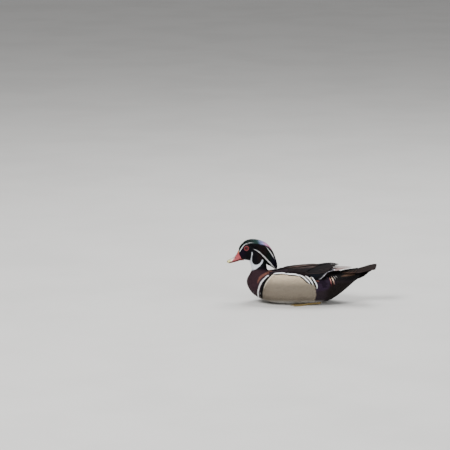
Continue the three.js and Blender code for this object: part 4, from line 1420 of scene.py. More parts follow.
@dataclass
class BodyCoat:
    """The feathers of head, neck, breast, back, belly and flanks."""

    velvet: Material
    contour: Material
    flank: Material

    def build(self) -> list[Object]:
        """Makes every piece of the body's coat."""
        pieces = []
        for number, (plate, tracts) in enumerate(TRACTS.items()):
            name, nodes, slot = plate.value
            finish = {Plate.HEAD: self.velvet, Plate.FLANK: self.flank}.get(plate, self.contour)
            coat = Coat(name, finish, slot, nodes)
            for index, tract in enumerate(tracts):
                self.fill(coat, tract, 100 * number + index, plate is Plate.HEAD)
            pieces.append(coat.build())
        return pieces

    def fill(self, coat: Coat, tract: Tract, seed: int, by_eyes: bool) -> None:
        """Lays one tract.

        Args:
            coat: the piece that it belongs to.
            tract: the tract.
            seed: for its random draws.
            by_eyes: whether its feathers keep clear of the eyes.
        """
        widest = math.radians(tract.angles[1])
        low, high = ((section, way * widest) for section, way in zip(tract.sections, (-1, 1)))
        root = scatter(BODY, low, high, tract.spacing, seed, tract.keeps)
        rng = np.random.default_rng(seed + 7)
        length = tract.length * rng.uniform(0.88, 1.1, len(root))
        heading = np.radians(tract.heading + rng.normal(0, tract.wander, len(root)))
        path = groom(BODY, root, tract.cut, length, heading)
        path[..., 0] = np.clip(path[..., 0], 0.02, BODY.last)
        lift = tract.rise * rng.uniform(0.6, 1.3, len(root))
        laid = lay(BODY, tract.cut, path, tract.half, tract.sink, lift, seed=seed + 3)
        if by_eyes:
            laid.points = EYE.keep_clear(laid.points)
        paint = MARKINGS.whole(laid.place(tract.own))
        if tract.name == "breast":
            self.spot(laid, paint)
        coat.add(laid, paint, *((0.05, 0.12) if tract.name == "flank" else ()))
        LOG.info("%s: %d feathers", tract.name, len(root))

    def spot(self, laid: Laid, paint: Paint) -> None:
        """Paints the small white marks at the tips of the lower breast's feathers."""
        share = 0.3
        place = side_view(laid.middle)
        low = smooth(36, 18, place[:, 1]) * smooth(-104, -118, place[:, 0])
        marked = (np.random.default_rng(5).uniform(0, 1, len(low)) < share * low)[:, None, None]
        paint.coats(WHITE=marked * smooth(0.75, 1.0, laid.along) * (1 - 0.7 * np.abs(laid.across)))


@dataclass
class FlankTips:
    """The large flank feathers whose white tips, each between two black lines, edge the flank."""

    material: Material
    stations: int = 34
    across: int = 25
    root_spread: float = 0.35
    sink: float = 0.9
    thickness: float = 0.2
    soft: float = 0.3
    refits: int = 2

    def shape(self, crescent: Crescent, side: int, across: Array, place: Array, share: Array
              ) -> tuple[Array, ...]:
        """Lays one feather on the flank.

        Args:
            crescent: the feather.
            side: LEFT or RIGHT.
            across: its places from edge to edge.
            place: its places in side elevation.
            share: the share of the way to the tip, station by station.

        Returns:
            The points of its upper and lower faces, and its surface coordinates.
        """
        lift = -self.sink + (crescent.rise + self.sink) * (1 - (1 - share) ** 1.6)[:, None] - 0.9 * across**8
        lift = lift - (crescent.rise + 1) * across**6 * (1 - share)[:, None] ** 0.4
        goal, spots = place, locate(BODY, place, side)
        for _ in range(self.refits):
            goal = goal + place - side_view(BODY.at(spots[..., 0], spots[..., 1], lift))
            spots = locate(BODY, goal, side)
        top, under = (BODY.at(spots[..., 0], spots[..., 1], lift - drop) for drop in (0, self.thickness))
        return top, under[:, 1:-1], spots

    def make(self, crescent: Crescent, side: int) -> tuple[Laid, Paint]:
        """Makes one feather with its paint.

        Args:
            crescent: the feather.
            side: LEFT or RIGHT.

        Returns:
            The feather and its paint.
        """
        across = np.linspace(-1, 1, self.across)
        edge = crescent.offset((across + 1) / 2, crescent.white / 2 + crescent.outer_black)
        root = np.array(crescent.root) + (edge - edge.mean(axis=0)) * self.root_spread
        share = 1 - (1 - np.linspace(0, 1, self.stations)) ** 1.6
        place = root[None] + (edge - root)[None] * share[:, None, None]
        top, under, spots = self.shape(crescent, side, across, place, share)
        order = np.concatenate([np.arange(self.across), np.arange(1, self.across - 1)[::-1]])
        ring = np.concatenate([top, under[:, ::-1]], axis=1)
        if side == LEFT:
            ring, order = np.roll(ring[:, ::-1], 1, axis=1), np.roll(order[::-1], 1)
        length = np.linalg.norm(edge - root, axis=1)
        left = ((1 - share)[:, None] * length)[:, order]
        narrow = np.clip(1.08 - np.abs(across) ** 3, 0.02, 1)[order]
        bounds = np.cumsum([crescent.outer_black, crescent.white, crescent.inner_black])
        inner, white, outer = (1 - smooth(-self.soft, self.soft, left - far * narrow) for far in bounds[::-1])
        shape, middle = (1, *left.shape), self.across // 2
        laid = Laid(ring[None], np.broadcast_to(share[None, :, None], shape),
                    np.broadcast_to(across[order], shape),
                    top[self.stations // 2, middle][None], np.array([length.mean()]),
                    np.array([np.linalg.norm(edge[-1] - edge[0]) / 2]), np.zeros(1),
                    ((spots[0, middle] - BODY.area[:2]) / BODY.area[2:])[None])
        # The feather is painted darker towards its bottom, as painted shade.
        paint = laid.paint(BUFF=1, BUFF_LOW=smooth(70, 40, place[:, order, 1]), BLACK=inner, WHITE=white)
        return laid, paint.coats(BLACK=outer)

    def build(self) -> Object:
        """Makes the feathers of both flanks."""
        coat = Coat("flank_tips", self.material, "torso", ("torso",))
        for side in SIDES:
            for crescent in CRESCENTS:
                coat.add(*self.make(crescent, side), 0.0, 0.06)
        return coat.build()


@dataclass(frozen=True)
class LockRow:
    """Long feathers of the crest that root in one band and end in another, in sections of the crest."""

    root: Row
    tip: Row
    count: int
    half: float
    sink: float
    rise: float
    seed: int


@dataclass
class Crest:
    """The long swept crest, from the forehead to its tip over the nape."""

    material: Material
    end: float = 9.97
    rows: tuple[LockRow, ...] = (
        LockRow((4.2, 6.2), (8.2, 10.0), 620, 1.15, 2.6, -0.4, 11),
        LockRow((2.4, 4.6), (6.0, 8.8), 760, 1.15, 2.5, -0.2, 12),
        LockRow((0.9, 3.0), (3.6, 6.4), 800, 1.15, 2.4, 0.0, 13),
        LockRow((0.05, 1.4), (1.6, 3.8), 700, 1.0, 2.2, 0.2, 14),
        LockRow((5.5, 7.4), (8.8, 10.0), 320, 1.05, 2.6, -0.6, 15),
    )

    def build(self) -> Object:
        """Makes the crest's locks row by row."""
        coat = Coat("crest_locks", self.material, "crest", ("crest",))
        for row in self.rows:
            rng = np.random.default_rng(row.seed)
            turn = rng.uniform(-math.pi, math.pi, row.count)
            share = rng.uniform(0, 1, row.count)
            starts, ends = (low + (high - low) * share for low, high in (row.root, row.tip))
            ends = np.clip(ends + rng.normal(0, 0.25, row.count), 0, self.end)
            tip = np.stack([ends, turn + rng.normal(0, 0.08, row.count)], axis=-1)
            path = between(np.stack([starts, turn], axis=-1), tip, Cut.LOCK)
            laid = lay(CREST, Cut.LOCK, path, row.half * rng.uniform(0.8, 1.2, row.count), row.sink,
                       row.rise + rng.uniform(-0.4, 0.3, row.count), seed=row.seed)
            coat.add(laid, MARKINGS.head(laid.place(0.95)), 0.16, 0.3)
        return coat.build()


@dataclass(frozen=True)
class Tier:
    """Rows of wing feathers between four corners, upper and lower root, upper and lower tip, in degrees."""

    name: str
    cut: Cut
    rows: int
    count: int
    half: Row
    sink: float
    rise: float
    lean: float
    stack: float
    first: tuple[Row, ...]
    last: tuple[Row, ...]
    colour: Colour
    ends: tuple[Row, ...] = ()

    def spread(self) -> tuple[Array, Array, Array]:
        """Spreads the feathers between the corners.

        Returns:
            Roots, tips and each feather's share of the way from the upper to the lower edge.
        """
        first, last = np.array(self.first, float), np.array(self.last or self.first, float)
        parts = []
        for row in range(self.rows):
            far = row / max(self.rows - 1, 1)
            upper_root, lower_root, upper_tip, lower_tip = first + (last - first) * far
            shift = 0.5 * (row % 2) / self.count
            share = np.clip(np.arange(self.count) / (self.count - 1) + shift, 0, 1)[:, None]
            parts.append((upper_root + (lower_root - upper_root) * share,
                          upper_tip + (lower_tip - upper_tip) * share, share[:, 0]))
        return tuple(np.concatenate(column) for column in zip(*parts))

    def paint(self, laid: Laid, side: int) -> Paint:
        """Paints the feathers.

        Args:
            laid: the feathers.
            side: LEFT or RIGHT.

        Returns:
            Their paint.
        """
        paint = laid.paint(**{self.colour.name: 1})
        x, h = np.moveaxis(side_view(laid.place(0.5)), -1, 0)
        along, off = laid.along, np.abs(laid.across)
        if self.name == "primaries":
            paint.coats(SILVER=smooth(0.3, 0.75, off) * smooth(0.3, 0.5, along) * 0.7)
        elif self.name == "secondaries":
            paint.coats(TERTIAL=smooth(0.6, 0.8, along) * 0.8, TRAILING=smooth(0.93, 0.965, along))
        elif self.name == "tertials":
            paint.coats(SPECULUM=smooth(0.0, 0.6, laid.across * -side) * 0.6, BLACK=smooth(0.86, 0.95, along),
                        COVERT_EDGE=smooth(0.8, 1.0, off) * 0.5)
        elif self.name == "scapulars":
            # A strip of pale brown painted highlight along the top of the back, on the scapulars' edges.
            lit = smooth(90, 97, h) * smooth(-34, -16, x) * smooth(60, 44, x)
            paint.coats(MANTLE=smooth(-20, -66, x) * 0.9, LIT_BACK=lit * smooth(0.35, 0.9, off) * 0.7,
                        SPECULUM=smooth(0.1, 0.9, along) * smooth(-10, 20, x) * 0.3)
        elif self.name == "coverts":
            paint.coats(MANTLE=smooth(-30, -60, x) * 0.6,
                        COVERT_EDGE=smooth(0.5, 1.0, off) * smooth(0.5, 0.9, along) * 0.6)
        return paint


@dataclass
class Wing:
    """One folded wing, from the scapulars over the back to the tips of its primaries."""

    side: int
    material: Material
    core_material: Material
    core_end: float = 5.0
    clear: float = 0.2
    dim: float = 0.5
    lower_edge: Row = (38, 42, 46, 60, 82, 62, 60, 70, 80)
    upper_edge: Row = (16, 8, 1.2, 0.3, 0.3, 0.3, 0.3, 0.3, 0.3)
    core_high: Row = (-5.5, -3.2, -3.2, -3.2, -3.6, -5.2)
    core_low: Row = (-8.5, -8.5, -8.5, -8.5, -7.6, -6.2)
    tiers: tuple[Tier, ...] = (
        Tier("primaries", Cut.QUILL, 1, 9, (4.2, 6), 1.2, 0.3, 0.12, 0.12,
             ((46, 9), (40, 26), (139.5, 5.4), (103, 24)), (), Colour.PRIMARY),
        Tier("secondaries", Cut.QUILL, 1, 12, (5.6, 6.4), 3.0, -0.9, 0.1, 0.05,
             ((2.9, 34), (2.4, 60), (5.4, 43), (4.2, 75)), (), Colour.SPECULUM,
             ((93, 90), (84, 87.4), (75.5, 85.2), (69.4, 80.6), (63.4, 73.8), (59.4, 70.2), (55.6, 67))),
        Tier("tertials", Cut.QUILL, 1, 6, (7.4, 9.4), 2.8, 0.2, 0.09, 0.1,
             ((3, 6), (2.5, 34), (5.95, 6), (4.9, 41)), (), Colour.TERTIAL),
        Tier("greater coverts", Cut.BROAD, 1, 10, (6.2, 6.6), 2.2, -0.4, 0.06, 0.02,
             ((2.0, 34), (1.9, 60), (3.3, 38), (3.5, 71)), (), Colour.COVERT),
        Tier("coverts", Cut.BROAD, 4, 8, (5.8, 5.8), 2.2, -0.2, 0.05, 0.02,
             ((0.6, 20), (0.6, 42), (1.5, 20), (1.5, 44)), ((1.6, 30), (1.7, 60), (2.7, 32), (2.9, 68)),
             Colour.COVERT),
        Tier("scapulars", Cut.BROAD, 5, 7, (7.2, 8.2), 2.2, 0.75, 0.06, 0.05,
             ((0.15, 10), (0.2, 40), (1.4, 7), (1.4, 34)), ((1.5, 5), (1.35, 38), (4.0, 5), (3.2, 35)),
             Colour.SCAPULAR),
    )

    def build(self) -> list[Object]:
        """Makes the wing's feathers and the solid arm under them."""
        name = "wing_" + SIDES[self.side]
        coat = Coat(name + "_feathers", self.material, "wing", (name,))
        for number, tier in enumerate(self.tiers):
            on_rump = tier.name == "primaries"
            root, tip, share = tier.spread()
            for ends in (root, tip):
                ends[:, 1] *= self.side * (1.0 if on_rump else math.pi / 180)
            if tier.ends:
                tip = locate(WING, spline(tier.ends, share * (len(tier.ends) - 1)), self.side)
            half = tier.half[0] + (tier.half[1] - tier.half[0]) * share
            rise = tier.rise + tier.stack * (1 - share) * tier.count
            laid = lay(PRIMARIES if on_rump else WING, tier.cut, between(root, tip, tier.cut), half,
                       tier.sink, rise, self.side * tier.lean, 40 + number)
            if on_rump:
                laid.unwrap = np.abs(laid.unwrap)
            else:
                laid.points = tuck(laid.points)
            y = laid.points[..., 1]
            laid.points[..., 1] = np.where(y * self.side < self.clear, self.side * self.clear, y)
            coat.add(laid, tier.paint(laid, self.side), 0.1, 0.15)
        return [coat.build(), self.arm(name)]

    def arm(self, name: str) -> Object:
        """Makes the flat solid part of the wing that its feathers lie on.

        Args:
            name: the solid that it stands for.

        Returns:
            The piece.
        """
        steps, across = 60, 24
        u = np.linspace(0.25, self.core_end, steps)
        low = np.radians(listed(self.lower_edge, u) - 3)
        high = np.radians(listed(self.upper_edge, u) + 2)
        v = self.side * (high[:, None] + (low - high)[:, None] * np.linspace(0, 1, across))
        top, under = (WING.at(u[:, None], v, listed(lift, u)[:, None])
                      for lift in (self.core_high, self.core_low))
        ring = tuck(np.concatenate([top, under[:, ::-1]], axis=1))
        faces = ring_faces(steps, 2 * across, False)
        if self.side == LEFT:
            faces = [face[::-1] for face in faces]
        piece = new_mesh(name + "_arm", ring, faces, "wing", (name,), self.core_material)
        # The arm takes the coverts' colour darkened, as painted shade under the wing's feathers.
        Paint((steps * 2 * across,), COVERT=1).store(piece.data, self.dim)
        return piece


@dataclass
class Tail:
    """The broad tail with its coverts, above and below."""

    material: Material
    pairs: int = 7
    root_x: float = 117.0
    tip_x: float = 208.0
    shorter: float = 0.1
    root_y: Row = (1.5, 2.3)
    tip_y: Row = (2.7, 4.5)
    half: float = 6.6
    covert_half: float = 5.6
    under_half: float = 5.4
    covert_rows: tuple[Row, ...] = (
        (112, 156, 23, 11), (109, 147, 21, 10), (105, 138, 18, 9), (100, 128, 14, 8))
    under_rows: tuple[Row, ...] = (
        (156, 203, 9, 7, 5, 10), (153, 197, 11, 7, 9, 14), (150, 190, 12, 7, 13, 16),
        (147, 183, 12, 7, 17, 18), (143, 176, 10, 6, 23, 21), (140, 169, 8, 5, 28, 24))

    @staticmethod
    def fan(cut: Cut, root: tuple[Array | float, Array], tip: tuple[Array, Array], *sizes: Array | float
            ) -> Laid:
        """Lays one row of feathers.

        Args:
            cut: the kind of feather.
            root: x and y of the roots.
            tip: x and y of the tips.
            sizes: half width, sink, rise, lean and seed, as for lay.

        Returns:
            The feathers.
        """
        ends = (np.stack(np.broadcast_arrays(*spots), axis=-1) for spots in (root, tip))
        return lay(TAIL, cut, between(*ends, cut), *sizes)

    def build(self) -> Object:
        """Makes the tail feathers of both sides and the coverts."""
        coat = Coat("tail_feathers", self.material, "tail", ("tail",))
        i = np.arange(self.pairs)
        for side in SIDES:
            root = (self.root_x, side * (self.root_y[0] + self.root_y[1] * i))
            tip = (self.tip_x - self.shorter * i**2, side * (self.tip_y[0] + self.tip_y[1] * i))
            laid = self.fan(Cut.QUILL, root, tip, self.half, 1.0, -0.1 - 0.05 * i, side * 0.05, 60 + side)
            edge = smooth(0.5, 1, np.abs(laid.across)) * smooth(0.9, 0.3, laid.along) * 0.7
            coat.add(laid, laid.paint(RECTRIX=1, RECTRIX_EDGE=edge), 0.08, 0.1)
        for number, (root_x, tip_x, reach, count) in enumerate(self.covert_rows):
            share = np.linspace(-1, 1, count)
            laid = self.fan(Cut.BROAD, (root_x, share * reach * 0.7), (tip_x - 6 * share**2, share * reach),
                            self.covert_half, -0.4, 1.2 + 0.35 * number, 0.0, 70 + number)
            edge = smooth(0.4, 1, np.abs(laid.across)) * smooth(0.3, 0.9, laid.along)
            edge = edge * smooth(8, 16, np.abs(laid.points[..., 1])) * 0.8
            coat.add(laid, laid.paint(RUMP=1, TAIL_BRONZE=edge), 0.1, 0.25)
        for number, (root_x, tip_x, reach, count, root_drop, tip_drop) in enumerate(self.under_rows):
            share = np.linspace(-1, 1, count)
            laid = self.fan(Cut.BROAD, (root_x, share * reach), (tip_x - 9 * share**2, share * reach * 0.8),
                            self.under_half, root_drop, -tip_drop, 0.0, 90 + number)
            coat.add(laid, laid.paint(UNDERTAIL=1), 0.1, 0.1)
        return coat.build()


@dataclass(frozen=True)
class Plume:
    """One drooping plume: its line in side elevation, its colours from root to tip and its half width."""

    line: tuple[Row, ...]
    first: Colour
    last: Colour
    half: float = 0.75


@dataclass
class Plumes:
    """The long hair-like plumes that droop over each side of the rump."""

    material: Material
    strands: int = 3
    spread: float = 0.9
    sink: float = 0.4
    rise: float = 1.5
    plumes: tuple[Plume, ...] = (
        Plume(((66, 71), (73, 66), (78, 57), (82, 46)), Colour.PURPLE, Colour.PURPLE, 1.1),
        Plume(((72, 70), (77, 63), (80.4, 54), (84, 43)), Colour.PLUME_RED, Colour.PLUME_RED, 0.7),
        Plume(((73, 72), (77.8, 67), (80.2, 61), (81.4, 55), (82.4, 48)), Colour.PLUME_PINK,
              Colour.PLUME_RED, 0.7),
        Plume(((77, 74), (82.6, 69.6), (85.6, 65), (88, 60), (89.8, 54), (91, 47)), Colour.PLUME,
              Colour.PLUME_RED, 0.9),
        Plume(((80, 73), (86, 66), (91, 57), (95, 46)), Colour.PURPLE, Colour.PURPLE, 1.0),
        Plume(((85, 74), (90.6, 69), (92.8, 64), (94.2, 58)), Colour.PLUME_GREY, Colour.RUMP, 0.7),
        Plume(((90, 74.4), (96, 70), (100, 64)), Colour.PLUME_GREY, Colour.RUMP, 0.4),
    )

    def build(self) -> Object:
        """Makes the plumes of both sides, each of a few strands."""
        coat = Coat("rump_plumes", self.material, "torso", ("torso",))
        stations = Cut.PLUME.stations()
        along = stations[None, :, None]
        for side in SIDES:
            for number, plume in enumerate(self.plumes):
                rng = np.random.default_rng(80 + number)
                line = spline(plume.line, stations * (len(plume.line) - 1))
                offset = np.linspace(-self.spread, self.spread, self.strands)[:, None, None]
                splay = offset * (0.3 + 0.7 * along) * np.array([1.0, 0.3])
                place = line[None] + splay + rng.normal(0, 0.3, (self.strands, 1, 2)) * along
                laid = lay(BODY, Cut.PLUME, locate(BODY, place, side), plume.half, self.sink, self.rise, 0.0,
                           81 + number)
                paint = laid.paint(PURPLE=1).coats(**{plume.first.name: smooth(0.05, 0.25, laid.along)})
                coat.add(laid, paint.coats(**{plume.last.name: smooth(0.5, 0.9, laid.along)}), 0.1, 0.1)
        return coat.build()


@dataclass
class Bill:
    """The painted bill: upper mandible with nostrils and nail, and the lower one under it."""

    material: Material
    upper: tuple[Row, ...] = (
        (-166, 150.5, -160, 124.5, 9), (-172.8, 146.5, -167, 123, 10), (-178, 135, -175, 119.6, 9.4),
        (-185, 126.2, -184, 116.8, 8.8), (-193.5, 120.8, -193, 114.2, 8.2), (-200.8, 117.4, -200, 112, 7.2),
        (-204.6, 114.2, -204.2, 110.4, 3.6))
    lower: tuple[Row, ...] = (
        (-158, 124, -158, 117, 7), (-168, 121.6, -168, 116.6, 7.6), (-177, 117.9, -177, 113.6, 7.4),
        (-186, 114.9, -186, 111.2, 6.8), (-194, 112.4, -194, 109.3, 6.2), (-200.5, 110.6, -200.5, 108.4, 4.2))
    nostril: Row = (-181.5, 8.4, 124.6)
    slope: Row = (0.82, 0.57)
    stations: int = 96
    around: int = 64

    def build(self) -> list[Object]:
        """Makes both mandibles."""
        return [self.make_upper(), self.make_lower()]

    def close(self, name: str, rings: Array, node: str, tint: Array) -> Object:
        """Closes rings of points into a mandible.

        Args:
            name: the piece's name.
            rings: its rings.
            node: the solid that it stands for.
            tint: its colours.

        Returns:
            The piece.
        """
        piece = new_mesh(name, rings, ring_faces(*rings.shape[:2]), node, (node,), self.material)
        put_colour(piece.data, "tint", np.broadcast_to(tint, rings.shape))
        return piece

    def by_nostril(self, rings: Array, side: int) -> tuple[Array, Array, Array]:
        """Measures places along and over a nostril, and says which are on its side of the bill."""
        off = rings - np.array(self.nostril) * (1, side, 1)
        level, tilt = self.slope
        return (off[..., 0] * level - off[..., 2] * tilt, off[..., 0] * tilt + off[..., 2] * level,
                rings[..., 1] * side > 2)

    def make_upper(self) -> Object:
        """Makes the upper mandible, with sunk nostrils and a raised rim round each."""
        u = np.linspace(0, len(self.upper) - 1, self.stations)
        u = np.sort(np.concatenate([u, np.linspace(5.6, 6, 8)[:-1]]))
        ridge_x, ridge_z, edge_x, edge_z, half = (column[:, None] for column in spline(self.upper, u).T)
        top = self.around * 3 // 4
        a = np.linspace(0, math.pi, top)
        rise = np.sin(a) ** 0.8
        shell = np.stack([edge_x + (ridge_x - edge_x) * rise, half * np.cos(a),
                          edge_z + (ridge_z - edge_z) * rise], axis=-1)
        back = np.linspace(-1, 1, self.around - top + 2)[1:-1]
        palate = np.stack(np.broadcast_arrays(edge_x, half * back, edge_z + 1.2 * (1 - back**2)), axis=-1)
        rings = np.concatenate([shell, palate], axis=1)
        for side in SIDES:
            along, over, near = self.by_nostril(rings, side)
            rings[..., 1] -= side * 2.2 * np.exp(-((along / 2.9) ** 2 + (over / 1.3) ** 2) ** 1.5) * near
            near = rings[..., 1] * side > 2
            rim = np.exp(-((np.hypot(along / 3.9, over / 2.2) - 1) / 0.28) ** 2)
            rings[..., 1] += side * 0.35 * rim * near
        share = (u / (len(self.upper) - 1))[:, None]
        height = np.concatenate([rise, np.zeros(self.around - top)])
        return self.close("bill_top", rings, "bill_upper", self.paint(rings, share, height))

    def paint(self, rings: Array, share: Array, height: Array) -> Array:
        """Paints the upper mandible: red side, pale saddle, black ridge and nail, yellow border, and painted
        shade in the nostrils.

        Args:
            rings: its points.
            share: each ring's share of the way to the tip.
            height: each point's height from the edge to the ridge, from 0 to 1.

        Returns:
            The colours.
        """
        x, h = np.moveaxis(side_view(rings), -1, 0)
        coats = [
            ("d5743a", smooth(-179, -174, x) * smooth(131, 138, h)),
            ("e6d9cc", smooth(-184, -189, x - 0.6 * (h - 118)) * smooth(0.05, 0.25, height)),
            ("dcd38c", smooth(-191, -196, x)),
            ("1a1413", smooth(0.955, 0.99, height) * smooth(0.14, 0.3, share)),
            ("2a2418", smooth(0.9, 0.94, share) * smooth(0.2, 0.5, height)),
            ("d9a23a", smooth(0.075, 0.05, share) * smooth(0.985, 0.9, height)),
        ]
        for side in SIDES:
            along, over, near = self.by_nostril(rings, side)
            # A dark blot in each nostril: painted shade in its sunk opening.
            coats.append(("140a08", np.exp(-((along / 2.6) ** 2 + (over / 1.0) ** 2) ** 2) * near))
        tint = np.broadcast_to(srgb("a8454c"), rings.shape)
        for code, cover in coats:
            tint = blend(tint, srgb(code), cover)
        return tint

    def make_lower(self) -> Object:
        """Makes the lower mandible."""
        u = np.linspace(0, len(self.lower) - 1, self.stations)
        top_x, top_z, low_x, low_z, half = (column[:, None] for column in spline(self.lower, u).T)
        a = np.linspace(0, FULL_TURN, self.around, endpoint=False)
        up = (1 + np.sin(a)) / 2
        rings = np.stack([low_x + (top_x - low_x) * up, half * np.cos(a), low_z + (top_z - low_z) * up],
                         axis=-1)
        edge = np.clip(np.abs(np.cos(a)), 0, 1) ** 6
        tint = blend(srgb("2a1c19"), srgb("a8483c"), edge * 0.6)
        return self.close("bill_bottom", rings, "bill_lower", tint)


@dataclass
class Eyes:
    """Both eyes: a red iris round a dark pupil under a clear bulge, in a fleshy red lid."""

    ball_material: Material
    lid_material: Material
    rings: int = 40
    around: int = 64
    lid_around: int = 96
    lid_section: int = 14

    def build(self) -> list[Object]:
        """Makes both balls and both lids."""
        pieces = []
        for side, name in SIDES.items():
            seat, out = EYE.seat(side)
            basis = np.array(Vector(out).to_track_quat("Z", "Y").to_matrix())
            pieces.append(self.ball("eye_" + name, seat - out * EYE.depth, basis))
            pieces.append(self.lid("lid_" + name, seat, basis))
        return pieces

    def ball(self, node: str, centre: Array, basis: Array) -> Object:
        """Makes one eyeball.

        Args:
            node: the solid that it stands for.
            centre: its centre.
            basis: its axes, the third looking out.

        Returns:
            The piece.
        """
        a = np.linspace(0.02, math.pi - 0.02, self.rings)
        b = np.linspace(0, FULL_TURN, self.around, endpoint=False)
        off = EYE.ball * np.sin(a)
        front = a < math.pi / 2
        bulge = EYE.ball + 0.35 * np.exp(-(off / 3.4) ** 2) * front
        spots = np.stack([np.outer(bulge * np.sin(a), np.cos(b)), np.outer(bulge * np.sin(a), np.sin(b)),
                          np.outer(bulge * np.cos(a), np.ones(self.around))], axis=-1)
        rings = centre + spots @ basis.T
        piece = new_mesh(node + "_ball", rings, ring_faces(self.rings, self.around), "eye", (node,),
                         self.ball_material)
        away = np.where(front, off, 9.0)[:, None] * np.ones(self.around)
        spoke = 0.8 + 0.2 * np.sin(17 * b) * np.sin(9 * b + 1)
        tint = srgb("74181a") * spoke[None, :, None]
        tint = blend(tint, srgb("4a0c0a"), smooth(EYE.iris, 5.3, away))
        tint = tint * (0.45 + 0.55 * smooth(EYE.pupil, EYE.iris, away))[..., None]
        tint = blend(tint, srgb("050304"), smooth(EYE.pupil + 0.5, EYE.pupil + 0.1, away))
        put_colour(piece.data, "tint", tint)
        return piece

    def lid(self, name: str, seat: Array, basis: Array) -> Object:
        """Makes the fleshy ring round one eye.

        Args:
            name: the piece's name.
            seat: the eye's place on the head.
            basis: the eye's axes.

        Returns:
            The piece.
        """
        b = np.linspace(0, FULL_TURN, self.lid_around, endpoint=False)[:, None]
        c = np.linspace(0, FULL_TURN, self.lid_section, endpoint=False)
        bead = 1 + 0.05 * np.sin(23 * b) * np.sin(5 * b)
        flat = EYE.opening + EYE.lid_width + EYE.lid_width * bead * np.cos(c)
        lift = EYE.lid_height * bead * np.sin(c) - 0.25 - 0.28 * np.maximum(np.cos(c), 0)
        lift = lift + 0.12 * np.sin(c) * np.sin(3 * c) * bead
        rings = seat + np.stack([flat * np.cos(b), flat * np.sin(b), lift], axis=-1) @ basis.T
        total = self.lid_around * self.lid_section
        faces = [[k % total for k in face] for face in ring_faces(self.lid_around + 1, self.lid_section)[:-2]]
        return new_mesh(name, rings, faces, "head", ("head",), self.lid_material)


@dataclass
class Feet:
    """The legs and webbed feet tucked under the belly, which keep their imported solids."""

    material: Material
    nodes: tuple[str, ...] = ("leg_left", "leg_right", "foot_left", "foot_right")

    def build(self) -> None:
        """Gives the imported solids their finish."""
        for name in self.nodes:
            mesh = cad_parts[name].data
            mesh.materials.clear()
            mesh.materials.append(self.material)
            LOG.info("%s: finish only", name)


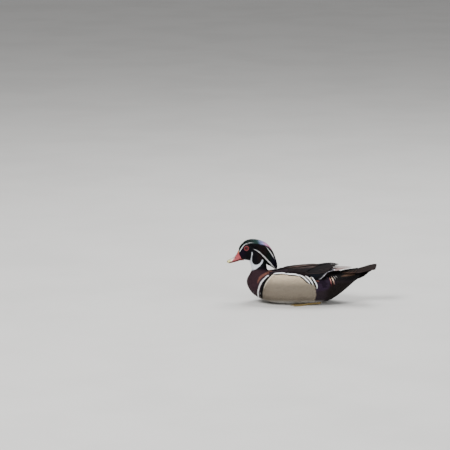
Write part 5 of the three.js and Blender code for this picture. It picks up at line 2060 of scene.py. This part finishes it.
@dataclass
class Studio:
    """The pale floor, the soft lights and the camera at the photograph's angle."""

    floor_material: Material
    distance: float = 8.0
    sensor: float = 36
    origin_pixel: Row = (301.5, 301.8)
    floor_side: float = 80.0
    floor_drop: float = 0.0002
    aim_height: float = 0.08
    room: Row = (0.8, 0.8, 0.81, 1)
    room_strength: float = 0.42
    lights: tuple[tuple[str, Row, float, float], ...] = (
        ("key", (-2.2, -2.6, 3.6), 2.0, 235), ("top", (0.6, 1.2, 3.4), 2.2, 125),
        ("fill", (2.6, -3.0, 1.6), 2.6, 65))

    def build(self) -> None:
        """Makes floor, lights and camera."""
        self.make_floor()
        for name, place, size, watts in self.lights:
            light = bpy.data.lights.new(name, "AREA")
            light.size, light.energy = size, watts
            self.aim(placed(name, light), Vector(place), Vector((0, 0, self.aim_height)))
        world = bpy.data.worlds.new("room")
        world.use_nodes = True
        background = world.node_tree.nodes["Background"]
        Graph(world.node_tree).fill(background, {0: self.room, 1: self.room_strength})
        bpy.context.scene.world = world
        self.make_camera()

    @staticmethod
    def aim(thing: Object, place: Vector, at: Vector) -> None:
        """Puts a light or camera at its place, looking at a point."""
        thing.location = place
        thing.rotation_euler = (at - place).to_track_quat("-Z", "Y").to_euler()

    def make_floor(self) -> None:
        """Makes the floor."""
        half = self.floor_side / 2
        mesh = bpy.data.meshes.new("floor")
        corners = [(-half, -half, 0), (half, -half, 0), (half, half, 0), (-half, half, 0)]
        mesh.from_pydata(corners, [], [(0, 1, 2, 3)])
        floor = placed("floor", mesh)
        floor.location.z = -self.floor_drop
        mesh.materials.append(self.floor_material)

    def make_camera(self) -> None:
        """Makes the camera, with the duck where the photograph has it."""
        data = bpy.data.cameras.new("camera")
        data.sensor_width = self.sensor
        data.lens = data.sensor_width * self.distance / (IMAGE_SIDE * PIXEL * MM)
        data.clip_end = 200
        right = (IMAGE_SIDE / 2 - self.origin_pixel[0]) * PIXEL * MM
        up = (self.origin_pixel[1] - IMAGE_SIDE / 2) * PIXEL * MM
        camera = placed("camera", data)
        self.aim(camera, Vector((0, -math.cos(ELEVATION), math.sin(ELEVATION))) * self.distance,
                 Vector((right, up * math.sin(ELEVATION), up * math.cos(ELEVATION))))
        bpy.context.scene.camera = camera


FINISHES = {
    "contour": Plumage("contour_plumage"),
    "velvet": Plumage("head_plumage", 0.3, 0.66, 0.3),
    "flank": Plumage("flank_plumage", 0.5, 0.8, 0.35),
    "silk": Plumage("crest_plumage", 0.28, 0.58, 0.45),
    "flight": Plumage("flight_plumage", 0.5, 0.7, 0.5, 0.08),
    "under": Plumage("skin_down", 0.8, 0.9, 0.3),
    "bill": Horn("bill_horn", None, "3a2018", 220, 0.18, 0.34, 0.25),
    "cornea": Horn("eye_wet", None, "3a0a06", 900, 0.25, 0.2, 0.3, 0.00003, 0.12),
    "lid": Horn("lid_skin", "762a30", "501a20", 900, 0.5, 0.5, 0.1, 0.0002, 0.3),
    "scute": Horn("foot_scutes", "86703a", "3c3322", 420, 0.6, 0.55, 0.05),
    "floor": Horn("studio_floor", "d9d8d5", "cfcecb", 3, 0.5, 0.75, 0.0, 0.0001),
}


def main() -> None:
    """Builds the duck and its studio."""
    logging.basicConfig(level=logging.INFO, format="%(name)s: %(message)s", stream=sys.stdout)
    effects = Effects()
    finish = {key: kind.make(effects) for key, kind in FINISHES.items()}
    Skin(finish["under"]).build()
    BodyCoat(finish["velvet"], finish["contour"], finish["flank"]).build()
    FlankTips(finish["flank"]).build()
    Crest(finish["silk"]).build()
    for side in SIDES:
        Wing(side, finish["flight"], finish["under"]).build()
    Tail(finish["flight"]).build()
    Plumes(finish["silk"]).build()
    Bill(finish["bill"]).build()
    Eyes(finish["cornea"], finish["lid"]).build()
    Feet(finish["scute"]).build()
    Studio(finish["floor"]).build()


if __name__ == "__main__":
    main()
